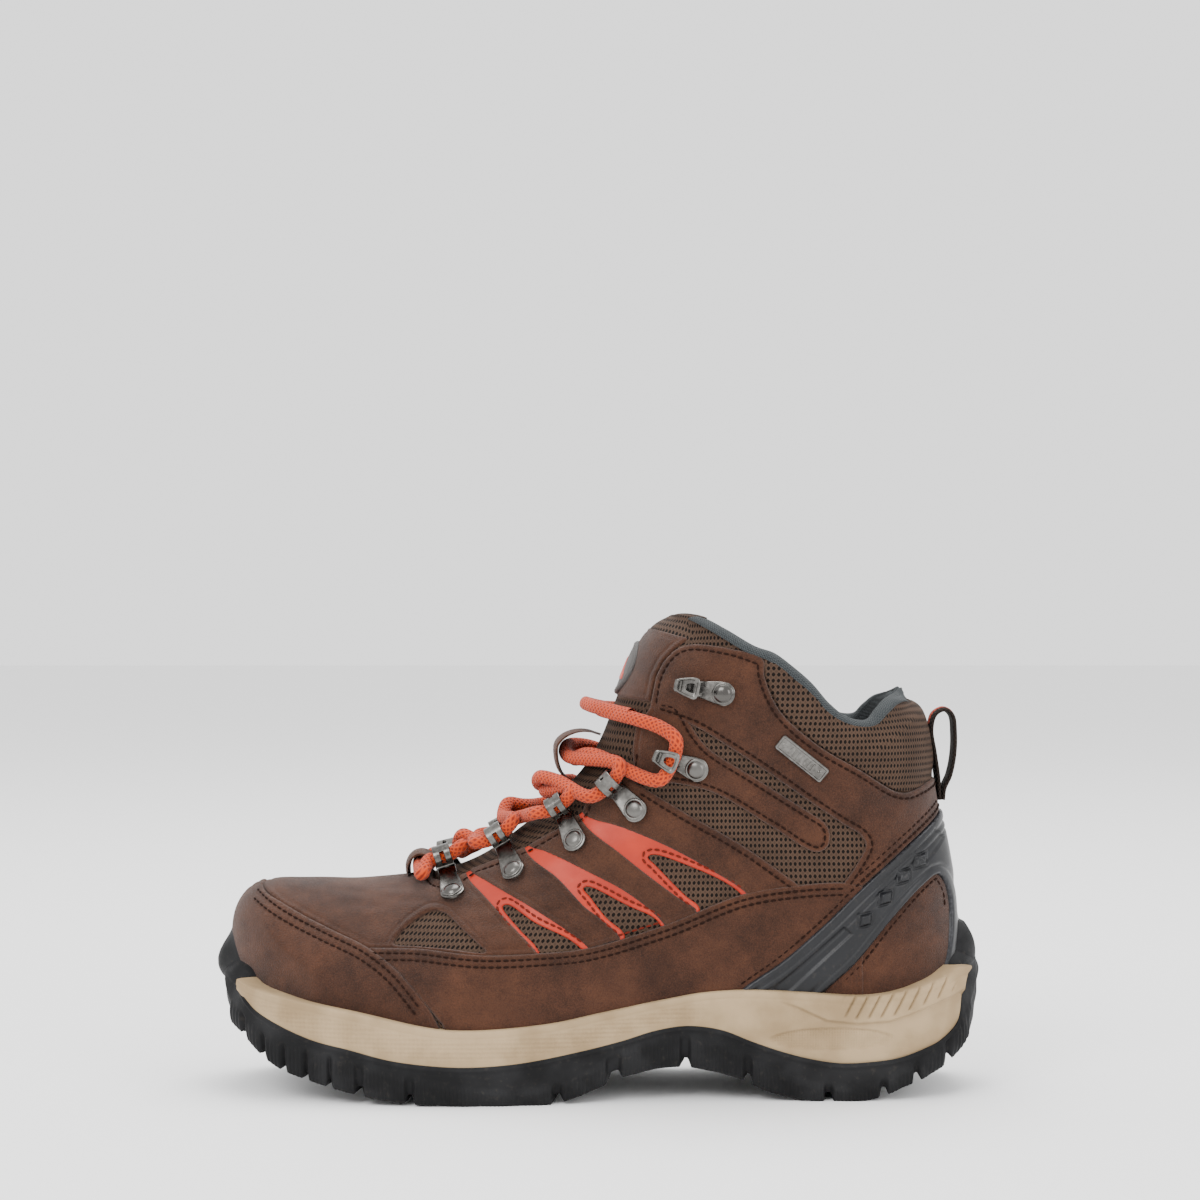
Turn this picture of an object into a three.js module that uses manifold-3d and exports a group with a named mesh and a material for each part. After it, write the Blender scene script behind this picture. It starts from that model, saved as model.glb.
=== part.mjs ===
// Mid-height lace-up hiking boot, left foot. Millimetres, +Z up, toe towards -X, outer side towards -Y.
// Every pattern outline is drawn in side view for the sample size and graded to the ordered size.
import * as THREE from "three";
import { mergeVertices } from "three/addons/utils/BufferGeometryUtils.js";
import Module from "manifold-3d";

const wasm = await Module();
wasm.setup();

// Sample size the patterns were drawn for, and the size ordered.
const SAMPLE_LENGTH = 304;
const SAMPLE_WIDTH = 108;
const SAMPLE_HEIGHT = 187;
const BOOT_LENGTH = 304;
const BOOT_WIDTH = 108;
const BOOT_HEIGHT = 187;

// Material thicknesses, measured inwards from the outer skin of the upper.
const GAP = 0.3;
const SUEDE = 1.5;
const MESH = 1.2;
const PADDING = 3.2;
const PATCH = 0.9;
const MESH_TOP = SUEDE + GAP;
const MESH_BACK = MESH_TOP + MESH;
const LINING_TOP = MESH_BACK + GAP;
const LINING_BACK = LINING_TOP + PADDING;
const FOOT_SPACE = LINING_BACK + GAP;

// Sole unit.
const BOARD = 1.5;
const FOOTBED = 4.5;
const PLATE = 4.5;
const SHANK_LENGTH = 96;
const SHANK_WIDTH = 16;
const SHANK = 1.2;
const RUBBER_WRAP = 4.2;

// Lace and metal fittings.
const LACE = 5.5;
const LACE_SIDES = 8;
const LACE_STEPS = 120;
const SHEET = 1;
const RING_WIRE = 0.9;
const RING_ROOM = 1;
const RING_RADIUS = LACE / 2 + RING_ROOM + RING_WIRE;
const RIVET_HEAD = 4;
const RIVET_DOME = 1.4;
const RIVET_SHANK = 1.5;
const HOOK_ROOM = LACE + 1.2;
const STRAP = 1.3;
const SEAT_RISE = 0.45;
const EYE_WIDTH = 6;
const EYE_SIDES = 12;
const RIVET_SIDES = 10;

// How finely the skin is divided: steps round each side, and rows from sole to collar.
const ROUND = 14;
const ROWS = 11;
const CURVE_STEPS = 160;
const EDGE_ROLL = 45;
const EDGE_POWER = 2.25;
const FOOT_EDGE = 2;

const gradeX = (x) => (x * BOOT_LENGTH) / SAMPLE_LENGTH;
const gradeY = (y) => (y * BOOT_WIDTH) / SAMPLE_WIDTH;
const gradeZ = (z) => (z * BOOT_HEIGHT) / SAMPLE_HEIGHT;
const graded = (outline) => outline.map(([x, z]) => [gradeX(x), gradeZ(z)]);

// Side-view edges of the upper, each read from the sole upwards or from the toe backwards.
const FRONT_EDGE = graded([
  [-142, 43], [-145.5, 50], [-146.5, 60], [-145, 69], [-140.5, 76], [-133, 79.8], [-118, 80.5],
  [-98, 80.6], [-80, 82], [-66, 84.5], [-52, 89], [-42, 94.5], [-33, 101.5], [-24, 108.5],
  [-16, 116.5], [-7, 126], [0, 138], [5, 151], [10, 164], [15, 175], [21, 183], [28, 187],
]);
const BACK_EDGE = graded([
  [141, 48], [142, 58], [141, 70], [139.5, 82], [137.5, 94], [135.5, 104], [134, 113],
  [132.8, 122], [131.6, 132], [129.8, 142], [127, 149], [123, 152],
]);
const FEATHER_LINE = graded([
  [-142, 43], [-138, 41], [-121, 37.5], [-97, 33.5], [-58, 27], [-22, 28.8], [1, 33],
  [25, 37.5], [40, 40], [57, 40.8], [77, 40], [106, 38.7], [130, 43.5], [141, 48],
]);
const TOP_LINE = graded([
  [28, 187], [36, 185.5], [46, 180.5], [58, 173.5], [66, 170.5], [73.5, 165], [81, 158.5],
  [88, 151], [94, 146.5], [101, 144.3], [106.5, 145], [111, 149], [116, 152.5], [120, 153], [123, 152],
]);
const SOLE_LINE = graded([
  [-152, 48], [-146, 44], [-142, 41], [-138, 37], [-133.5, 33], [-112, 24], [-96, 20.5], [-81, 17],
  [-66, 15.2], [-50, 14.5],
  [-30, 15.8], [-7, 19.8], [9, 23.5], [21, 27], [32, 28.7], [40, 28.3], [48, 26.7], [60, 22],
  [77, 16.8], [92, 14.3], [105, 14.7], [115, 16], [125, 19], [132.5, 22], [140, 28.4], [141.2, 33],
  [144, 48], [152, 52],
]);
const GROUND_LINE = graded([
  [-152, 48], [-150, 37], [-146, 28], [-140, 23.5], [-132, 16.5], [-124, 11.7], [-112, 8], [-96, 4],
  [-78, 1], [-60, 0], [-18, 0], [-7, 3], [8, 9], [28, 13], [44, 11], [54, 8], [66, 3], [80, 0],
  [104, 0], [118, 5], [128, 9], [138, 15], [143, 20], [148, 27], [152, 40],
]);
// Half widths of the upper by distance along the boot, outer then inner side.
const OUTER_HALF = [
  [-146, 38], [-110, 46], [-60, 52.5], [-20, 48.5], [20, 42], [60, 38], [100, 36.5], [141, 35],
];
const INNER_HALF = [
  [-146, 36], [-110, 43], [-75, 47], [-30, 42], [10, 36.5], [50, 35], [100, 36.5], [141, 35],
];
const SHAFT_HALF = [[90, 34], [110, 34.5], [150, 39], [190, 41]];
// Plan of the sole: outer edge and inner edge by distance along the boot.
const SOLE_PLAN = [
  [-152, 2, 14], [-150, -10, 22], [-146, -19, 29], [-140, -27, 36], [-132, -34, 42], [-122, -40.5, 46.5],
  [-105, -47, 50.5], [-85, -51.5, 53.2], [-60, -54, 54], [-35, -52.5, 50], [-10, -48.5, 43.5],
  [20, -44, 38], [50, -42, 37], [80, -42, 39], [105, -41.5, 40.5], [122, -39, 38.5], [134, -33, 33],
  [141, -27, 27], [144, -23, 23], [147.5, -17, 17], [150.5, -9, 9], [152, -3, 3],
];

// Side-view outlines of the panels.
const THROAT = graded([
  [-82, 86], [-68, 86], [-66, 82.5], [-59, 82], [-50, 87], [-40, 91], [-28, 96.5], [-17, 103], [-7, 110],
  [-4, 118], [2, 124], [11, 127], [12.5, 136], [14, 144], [19.4, 151], [21.7, 162.7], [24.7, 168.7],
  [29, 173.3], [34, 177], [36, 200], [-82, 200],
]);
const TOE_SEAM = [
  [-138, 96], [-135, 79], [-124, 72.5], [-106, 64.6], [-90, 58], [-78, 50], [-66, 37], [-59, 24],
];
const MUD_EDGE = [
  [-90, 58], [-70, 58.2], [-46, 56.2], [-23, 57], [-5, 58.6], [25, 67], [55, 78.5], [77, 82], [95, 83],
  [102, 81.5],
];
const CAGE_EDGE = [
  [50, 36], [54, 41.6], [70.5, 53], [87, 67], [102, 81.5], [120, 97], [132.5, 107], [136, 110],
  [150, 112],
];
const CAGE_INNER = [
  [82, 34], [85.5, 39.7], [98.7, 52], [113, 69], [125, 81], [132, 85], [136.5, 78], [137.5, 70.6],
  [136, 54.6], [134, 46], [132, 34],
];
const FRONT_WINDOW = graded([
  [-80, 60], [-75.4, 66], [-70, 70], [-65, 72], [-60, 71.2], [-53.5, 66], [-47, 60.5], [-44, 57.5],
  [-60, 58.6],
  [-72, 59.2],
]);
const FLASHES = [
  graded([
    [-56, 94], [-51.8, 86.3], [-43.7, 82.4], [-37.3, 79.2], [-26.4, 73.7], [-11.6, 64.4], [-4, 58], [0, 50],
    [-20, 50], [-24.2, 57.3], [-32, 65.4], [-40, 73], [-46, 78.5], [-52.6, 84.6],
  ]),
  graded([
    [-33, 104], [-28, 96.2], [-21.5, 94.5], [-5.4, 87.6], [11.4, 78.7], [24, 68], [28, 60], [6, 56],
    [8, 62], [0, 70], [-5.5, 74], [-16.5, 85], [-28.4, 93.6],
  ]),
  graded([
    [-12, 118], [-7, 109.2], [9, 104], [26, 97], [43, 87.8], [57, 78.5], [62, 70], [36, 66],
    [37.6, 72.5], [31, 77], [20, 85], [7.5, 94.7], [-6.4, 105.6],
  ]),
];
const WINDOWS = [
  graded([
    [-6, 57], [-11.6, 62], [-25, 68.5], [-36, 75], [-37.6, 73.8], [-31, 65.8], [-24, 58.5], [-22, 50],
    [-3, 50],
  ]),
  graded([
    [23, 67.5], [20.7, 70], [11, 74.5], [-4.6, 82], [-6, 81.4], [-3.5, 77.5], [2.5, 70], [9.5, 63.5],
    [9, 56], [26, 58],
  ]),
  graded([
    [55, 78], [49.7, 82.5], [36.4, 88.8], [20.5, 94], [19, 93], [21.5, 89.8], [33, 78.2], [38.5, 73.5],
    [38, 66], [58, 70],
  ]),
];
const FINGER_CUTS = [
  graded([[-60, 104], [-52.2, 85.4], [-42, 79], [-32, 71.5], [-14, 58], [-8, 40]]),
  graded([[-38, 112], [-28.4, 95.4], [-19, 90], [-6, 83], [10, 71], [22, 40]]),
  graded([[-18, 126], [-7, 108], [8, 99.5], [20, 93], [45, 78], [56, 40]]),
];
const BAND_UNDER_FINGER = graded([
  [-4, 120.5], [3, 125], [10, 123.5], [15.5, 120], [33, 109.5], [55, 97], [75, 83], [79, 80],
]);
const MIDDLE_FINGER = graded([
  [18.3, 149], [14, 143.5], [12.6, 136], [13, 128.5], [15.6, 122], [29, 121.4], [44, 117.8], [66, 105],
  [84, 94.7],
  [88.3, 97], [89, 102.8], [86.8, 106.5], [81, 110.2], [58.5, 124.4], [42, 135], [36.5, 141.6], [22, 147.2],
]);
const QUARTER_FRONT = [
  [19.4, 151], [21.7, 162.7], [24.7, 168.7], [29, 173.2], [35, 175.4], [51, 173.6], [63, 169.6], [63.5, 163],
  [69.4, 149.7], [84.2, 136.3], [100.6, 126.7], [114.7, 118.2], [120, 117.3], [125.2, 118.8], [132.5, 121.9],
  [150, 123],
];
const QUARTER_LOWER = [
  [94, 82], [100.4, 91.3], [103.3, 97.5], [101.4, 101.2], [94.2, 105.7], [80.8, 114.7], [65.8, 125.2],
  [51, 134.9], [36.3, 143.7], [21.6, 148.6],
];

// Places of the lace fittings on the outer side: rivet, then the end that carries the lace.
const RINGS = [
  { rivet: [-57, 77], end: [-60.5, 85] },
  { rivet: [-33, 86], end: [-37.5, 95] },
  { rivet: [-9.3, 98.5], end: [-14, 108.5] },
  { rivet: [14, 111], end: [6, 119.5] },
];
const HOOKS = [
  { rivet: [37.4, 127], end: [26.5, 131.5] },
  { rivet: [47.7, 156.3], end: [35, 158.8] },
];
const SIDES = { lateral: -1, medial: 1 };

// ---------- small tools ----------

function smooth(points, count) {
  const curve = new THREE.CatmullRomCurve3(
    points.map(([x, z]) => new THREE.Vector3(x, 0, z)),
    false,
    "centripetal",
  );
  curve.arcLengthDivisions = CURVE_STEPS * 4;
  return curve.getSpacedPoints(count).map((p) => [p.x, p.z]);
}

function rising(table, at, column = 1) {
  if (at <= table[0][0]) return table[0][column];
  for (let i = 1; i < table.length; i++) {
    if (at <= table[i][0]) {
      const share = (at - table[i - 1][0]) / (table[i][0] - table[i - 1][0]);
      return table[i - 1][column] + share * (table[i][column] - table[i - 1][column]);
    }
  }
  return table[table.length - 1][column];
}

const ease = (t) => {
  const s = Math.min(Math.max(t, 0), 1);
  return s * s * (3 - 2 * s);
};

function along(line, share) {
  const place = share * (line.length - 1);
  const i = Math.min(Math.floor(place), line.length - 2);
  const rest = place - i;
  return [
    line[i][0] + rest * (line[i + 1][0] - line[i][0]),
    line[i][1] + rest * (line[i + 1][1] - line[i][1]),
  ];
}

function distanceTo(line, x, z) {
  let best = Infinity;
  for (let i = 1; i < line.length; i++) {
    const [ax, az] = line[i - 1];
    const dx = line[i][0] - ax;
    const dz = line[i][1] - az;
    const share = Math.min(Math.max(((x - ax) * dx + (z - az) * dz) / (dx * dx + dz * dz), 0), 1);
    best = Math.min(best, Math.hypot(x - ax - share * dx, z - az - share * dz));
  }
  return best;
}

// Moves every corner of a closed outline outwards, or inwards for a negative distance.
function grow(outline, distance) {
  const area = outline.reduce((sum, [x, z], i) => {
    const [nx, nz] = outline[(i + 1) % outline.length];
    return sum + x * nz - nx * z;
  }, 0);
  const turn = Math.sign(area);
  return outline.map(([x, z], i) => {
    const [px, pz] = outline[(i + outline.length - 1) % outline.length];
    const [nx, nz] = outline[(i + 1) % outline.length];
    const into = new THREE.Vector2(x - px, z - pz).normalize();
    const out = new THREE.Vector2(nx - x, nz - z).normalize();
    const normal = new THREE.Vector2(into.y + out.y, -into.x - out.x).normalize();
    const reach = Math.max(normal.x * out.y - normal.y * out.x, 0.5);
    return [x + (turn * distance * normal.x) / reach, z + (turn * distance * normal.y) / reach];
  });
}

// ---------- solids ----------

function solid(geometry) {
  const bare = geometry.clone();
  bare.deleteAttribute("normal");
  bare.deleteAttribute("uv");
  const merged = mergeVertices(bare, 1e-4);
  return new wasm.Manifold(
    new wasm.Mesh({
      numProp: 3,
      vertProperties: merged.attributes.position.array,
      triVerts: new Uint32Array(merged.index.array),
    }),
  );
}

function geometryOf(body) {
  const mesh = body.getMesh();
  const geometry = new THREE.BufferGeometry();
  geometry.setAttribute("position", new THREE.BufferAttribute(new Float32Array(mesh.vertProperties), 3));
  geometry.setIndex(new THREE.BufferAttribute(new Uint32Array(mesh.triVerts), 1));
  return geometry;
}

function quads(points, faces) {
  const geometry = new THREE.BufferGeometry();
  geometry.setAttribute("position", new THREE.Float32BufferAttribute(points.flat(), 3));
  const index = [];
  for (const face of faces) {
    for (let i = 2; i < face.length; i++) {
      index.push(face[0], face[i - 1], face[i]);
    }
  }
  geometry.setIndex(index);
  return geometry;
}

// A solid that is a side-view outline drawn straight across the boot between two widths.
function across(outline, fromY, toY) {
  const shape = new THREE.Shape(outline.map(([x, z]) => new THREE.Vector2(x, z)));
  const geometry = new THREE.ExtrudeGeometry(shape, { depth: toY - fromY, bevelEnabled: false });
  geometry.rotateX(Math.PI / 2);
  geometry.translate(0, toY, 0);
  return solid(geometry);
}

const WIDE = BOOT_WIDTH;
const throughBoot = (outline) => across(outline, -WIDE, WIDE);
const onSide = (outline, side) =>
  side < 0 ? across(outline, -WIDE, middle(0)) : across(outline, middle(0), WIDE);

// Straight-sided solid whose cross-sections follow each other along the boot.
function loft(sections) {
  const size = sections[0].length;
  const points = sections.flat();
  const faces = [];
  for (let s = 0; s < sections.length - 1; s++) {
    for (let i = 0; i < size; i++) {
      const j = (i + 1) % size;
      faces.push([s * size + i, (s + 1) * size + i, (s + 1) * size + j, s * size + j]);
    }
  }
  const last = (sections.length - 1) * size;
  faces.push(Array.from({ length: size }, (_, i) => i));
  faces.push(Array.from({ length: size }, (_, i) => last + size - 1 - i));
  return solid(quads(points, faces));
}

// ---------- the skin of the upper ----------

const frontCurve = smooth(FRONT_EDGE, CURVE_STEPS);
const backCurve = smooth(BACK_EDGE, CURVE_STEPS);
const footCurve = smooth(FEATHER_LINE, CURVE_STEPS).map(([x, z]) => [x, z - FOOT_EDGE]);
const topCurve = smooth(TOP_LINE, CURVE_STEPS);
frontCurve[0] = footCurve[0];
backCurve[0] = footCurve[CURVE_STEPS];

const middle = (x) => gradeY(8 * ease((-x / gradeX(1) - 10) / 140));

function roll(distance) {
  const share = Math.min(distance / EDGE_ROLL, 1);
  return (1 - (1 - share) ** EDGE_POWER) ** (1 / EDGE_POWER);
}

function sideWidth(x, z, side) {
  const low = rising(side < 0 ? OUTER_HALF : INNER_HALF, x / gradeX(1));
  const high = rising(SHAFT_HALF, z / gradeZ(1));
  const share = ease((z / gradeZ(1) - 30) / 85);
  return gradeY(low * (1 - share) + high * share);
}

// Side-view place for a turn round the boot (0 front, 1 back) and a height share (0 sole, 1 collar).
function sidePlace(turn, height) {
  const a = (1 - Math.cos(Math.PI * turn)) / 2;
  const front = along(frontCurve, height);
  const back = along(backCurve, height);
  const foot = along(footCurve, a);
  const top = along(topCurve, a);
  return [0, 1].map(
    (k) =>
      (1 - a) * front[k] + a * back[k] + (1 - height) * foot[k] + height * top[k]
      - (1 - a) * (1 - height) * footCurve[0][k] - a * (1 - height) * footCurve[CURVE_STEPS][k]
      - (1 - a) * height * topCurve[0][k] - a * height * topCurve[CURVE_STEPS][k],
  );
}

// Point of the bare skin; turn runs from -1 (back, outer side) through 0 (front) to 1 (back, inner side).
function skin(turn, height) {
  const side = turn < 0 ? -1 : 1;
  const [x, z] = sidePlace(Math.abs(turn), height);
  const edgeRoll = roll(distanceTo(frontCurve, x, z)) * roll(distanceTo(backCurve, x, z));
  const half = sideWidth(x, z, side) * edgeRoll;
  return new THREE.Vector3(x, middle(x) + side * half, z);
}

const wrapTurn = (turn) => (turn > 1 ? turn - 2 : turn < -1 ? turn + 2 : turn);

function skinNormal(turn, height) {
  const step = 0.02;
  const low = Math.max(height - step, 0);
  const high = Math.min(height + step, 1);
  const round = skin(wrapTurn(turn + step), height).sub(skin(wrapTurn(turn - step), height));
  const up = skin(turn, high).sub(skin(turn, low));
  return up.cross(round).normalize();
}

function skinPoint(turn, height, lift) {
  return skin(turn, height).addScaledVector(skinNormal(turn, height), lift);
}

// Turn and height share of the skin under a side-view place.
function locate(place, side) {
  const [x, z] = [gradeX(place[0]), gradeZ(place[1])];
  let turn = 0.35;
  let height = 0.5;
  for (let pass = 0; pass < 60; pass++) {
    const here = sidePlace(turn, height);
    const step = 1e-4;
    const t = sidePlace(turn + step, height);
    const h = sidePlace(turn, height + step);
    const [a, c] = [(t[0] - here[0]) / step, (t[1] - here[1]) / step];
    const [b, d] = [(h[0] - here[0]) / step, (h[1] - here[1]) / step];
    const det = a * d - b * c;
    const [ex, ez] = [x - here[0], z - here[1]];
    turn = Math.min(Math.max(turn + (0.6 * (d * ex - b * ez)) / det, 0.01), 0.99);
    height = Math.min(Math.max(height + (0.6 * (a * ez - c * ex)) / det, 0.01), 0.99);
  }
  return { turn: side * turn, height };
}

// Closed layer of the upper between two depths under the skin.
function layer(inner, outer) {
  const columns = 2 * ROUND;
  const points = [];
  for (const depth of [inner, outer]) {
    for (let row = 0; row <= ROWS; row++) {
      for (let column = 0; column < columns; column++) {
        const turn = wrapTurn(column / ROUND - 1);
        points.push(skinPoint(turn, row / ROWS, -depth).toArray());
      }
    }
  }
  const at = (sheet, row, column) => (sheet * (ROWS + 1) + row) * columns + (column % columns);
  const faces = [];
  for (let column = 0; column < columns; column++) {
    for (let row = 0; row < ROWS; row++) {
      const far = row + 1;
      const next = column + 1;
      faces.push([at(1, row, column), at(1, far, column), at(1, far, next), at(1, row, next)]);
      faces.push([at(0, row, column), at(0, row, next), at(0, far, next), at(0, far, column)]);
    }
    faces.push([at(0, 0, column), at(1, 0, column), at(1, 0, column + 1), at(0, 0, column + 1)]);
    faces.push([at(1, ROWS, column), at(0, ROWS, column), at(0, ROWS, column + 1), at(1, ROWS, column + 1)]);
  }
  return solid(quads(points, faces));
}

// The whole room inside a depth, capped at the sole and the collar.
function core(depth) {
  const columns = 2 * ROUND;
  const points = [];
  for (let row = 0; row <= ROWS; row++) {
    for (let column = 0; column < columns; column++) {
      const turn = wrapTurn(column / ROUND - 1);
      points.push(skinPoint(turn, row / ROWS, -depth).toArray());
    }
  }
  const at = (row, column) => row * columns + (column % columns);
  const faces = [];
  for (let column = 0; column < columns; column++) {
    for (let row = 0; row < ROWS; row++) {
      faces.push([at(row, column), at(row + 1, column), at(row + 1, column + 1), at(row, column + 1)]);
    }
  }
  for (let i = 0; i < columns / 2 - 1; i++) {
    const [a, b] = [i, i + 1];
    const [c, d] = [columns - 2 - i, columns - 1 - i];
    faces.push([at(0, a), at(0, b), at(0, c), at(0, d)]);
    faces.push([at(ROWS, a), at(ROWS, d), at(ROWS, c), at(ROWS, b)]);
  }
  return solid(quads(points, faces));
}

// ---------- building ----------

const boot = new THREE.Group();
boot.name = "hiking_boot";

const FINISHES = {
  suede: [0x5d3b2d, 0.95, 0],
  fabric: [0x54443a, 0.9, 0],
  lining: [0x5d6366, 0.95, 0],
  insert: [0xdd5f48, 0.7, 0],
  rubber: [0x2b2b2e, 0.8, 0],
  foam: [0xbcad95, 0.75, 0],
  cage: [0x3a3a3f, 0.5, 0],
  metal: [0x8c8a84, 0.35, 1],
  board: [0xb09a78, 0.9, 0],
  lace: [0xe26630, 0.85, 0],
  badge: [0x6d6a68, 0.7, 0],
};

function add(name, finish, geometry) {
  const [color, roughness, metalness] = FINISHES[finish];
  const mesh = new THREE.Mesh(geometry, new THREE.MeshStandardMaterial({ color, roughness, metalness }));
  mesh.name = name;
  boot.add(mesh);
  return mesh;
}

const addSolid = (name, finish, body) => add(name, finish, geometryOf(body));

const FAR = 400;

// The line where the upper meets the sole, broken at the stations the sole is built on.
const plan = SOLE_PLAN.map(([x, outer, inner]) => [gradeX(x), gradeY(outer), gradeY(inner)]);
const soleStations = plan.map(([x]) => x);
const featherCurve = smooth(FEATHER_LINE, CURVE_STEPS);
const featherStations = soleStations.map((x) => [x, rising(featherCurve, x)]);
const featherLine = (x) => rising(featherStations, x);
const lastStation = featherStations.length - 1;
const aboveFeather = throughBoot([
  [-FAR, featherStations[0][1] + GAP / 2],
  ...featherStations.map(([x, z]) => [x, z + GAP / 2]),
  [FAR, featherStations[lastStation][1] + GAP / 2],
  [FAR, FAR],
  [-FAR, FAR],
]);
const suedeLayer = layer(SUEDE, 0).intersect(aboveFeather);
const meshLayer = layer(MESH_BACK, MESH_TOP).intersect(aboveFeather);
const liningLayer = layer(LINING_BACK, LINING_TOP).intersect(aboveFeather);

const toeArea = [...graded(TOE_SEAM), [-FAR, gradeZ(24)], [-FAR, gradeZ(96)]];
const mudArea = [
  ...graded(MUD_EDGE),
  ...graded(CAGE_EDGE).slice(0, 4).reverse(),
  [gradeX(50), 0],
  [gradeX(-59), 0],
  ...graded(TOE_SEAM).slice(4).reverse(),
];
const cageArea = [
  ...graded(CAGE_EDGE),
  [FAR, gradeZ(112)],
  [FAR, 0],
  [gradeX(132), 0],
  ...graded(CAGE_INNER).reverse(),
  [gradeX(82), 0],
  [gradeX(50), 0],
];
const heelArea = [...graded(CAGE_INNER), [gradeX(132), 0], [gradeX(82), 0]];
const lacingArea = [
  ...graded(TOE_SEAM).slice(0, 5),
  ...graded(MUD_EDGE).slice(1, 7),
  ...BAND_UNDER_FINGER.slice().reverse(),
  ...THROAT.slice(1, 9).reverse(),
  [gradeX(-70), gradeZ(110)],
];
const quarterArea = [
  ...graded(QUARTER_FRONT),
  ...graded(CAGE_EDGE).slice(4).reverse(),
  ...graded(QUARTER_LOWER),
];
const collarArea = [...graded(QUARTER_FRONT).slice(6), [FAR, gradeZ(123)], [FAR, FAR], [gradeX(63), FAR]];

// Toe cap, rand, cage and collar wrap over the middle or run to it on each side.
const toeCap = throughBoot(toeArea);
const rand = throughBoot(mudArea);
const cage = throughBoot(cageArea);
const toeCapGrown = throughBoot(grow(toeArea, GAP));
const randGrown = throughBoot(grow(mudArea, GAP));
const cageGrown = throughBoot(grow(cageArea, GAP));
const throatGrown = throughBoot(grow(THROAT, GAP));

const shankHoles = [];
const fittings = [];
for (const [sideName, side] of Object.entries(SIDES)) {
  RINGS.forEach((ring, i) => {
    fittings.push({ ...ring, side, name: `ring_${i + 1}_${sideName}`, hook: false });
  });
  HOOKS.forEach((hook, i) => {
    fittings.push({ ...hook, side, name: `hook_${i + 5}_${sideName}`, hook: true });
  });
}

// Seat of a fitting: a frame on the skin with its long way from the rivet to the lace.
function seat({ rivet, end, side }) {
  const from = locate(rivet, side);
  const to = locate(end, side);
  const foot = skinPoint(from.turn, from.height, 0);
  const tip = skinPoint(to.turn, to.height, 0);
  const normal = skinNormal((from.turn + to.turn) / 2, (from.height + to.height) / 2);
  const long = tip.clone().sub(foot);
  long.addScaledVector(normal, -long.dot(normal));
  const length = long.length();
  long.normalize();
  const mid = skinPoint((from.turn + to.turn) / 2, (from.height + to.height) / 2, GAP + SEAT_RISE);
  const lift = mid.clone().sub(foot).dot(normal);
  const matrix = new THREE.Matrix4().makeBasis(long, normal.clone().cross(long), normal);
  matrix.setPosition(foot.clone().addScaledVector(normal, lift));
  return { matrix, length, lift };
}

function placed(geometry, matrix) {
  return geometry.applyMatrix4(matrix);
}

function disc(radius, from, to, sides) {
  const geometry = new THREE.CylinderGeometry(radius, radius, to - from, sides);
  geometry.rotateX(Math.PI / 2);
  geometry.translate(0, 0, (from + to) / 2);
  return geometry;
}

function plateShape(length, wide, narrow) {
  const shape = new THREE.Shape();
  shape.absarc(0, 0, wide, Math.PI / 2 + 0.35, (3 * Math.PI) / 2 - 0.35, false);
  shape.lineTo(wide * 0.5, -narrow - 0.6);
  shape.lineTo(length, -narrow);
  shape.lineTo(length, narrow);
  shape.lineTo(wide * 0.5, narrow + 0.6);
  return shape;
}

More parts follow.
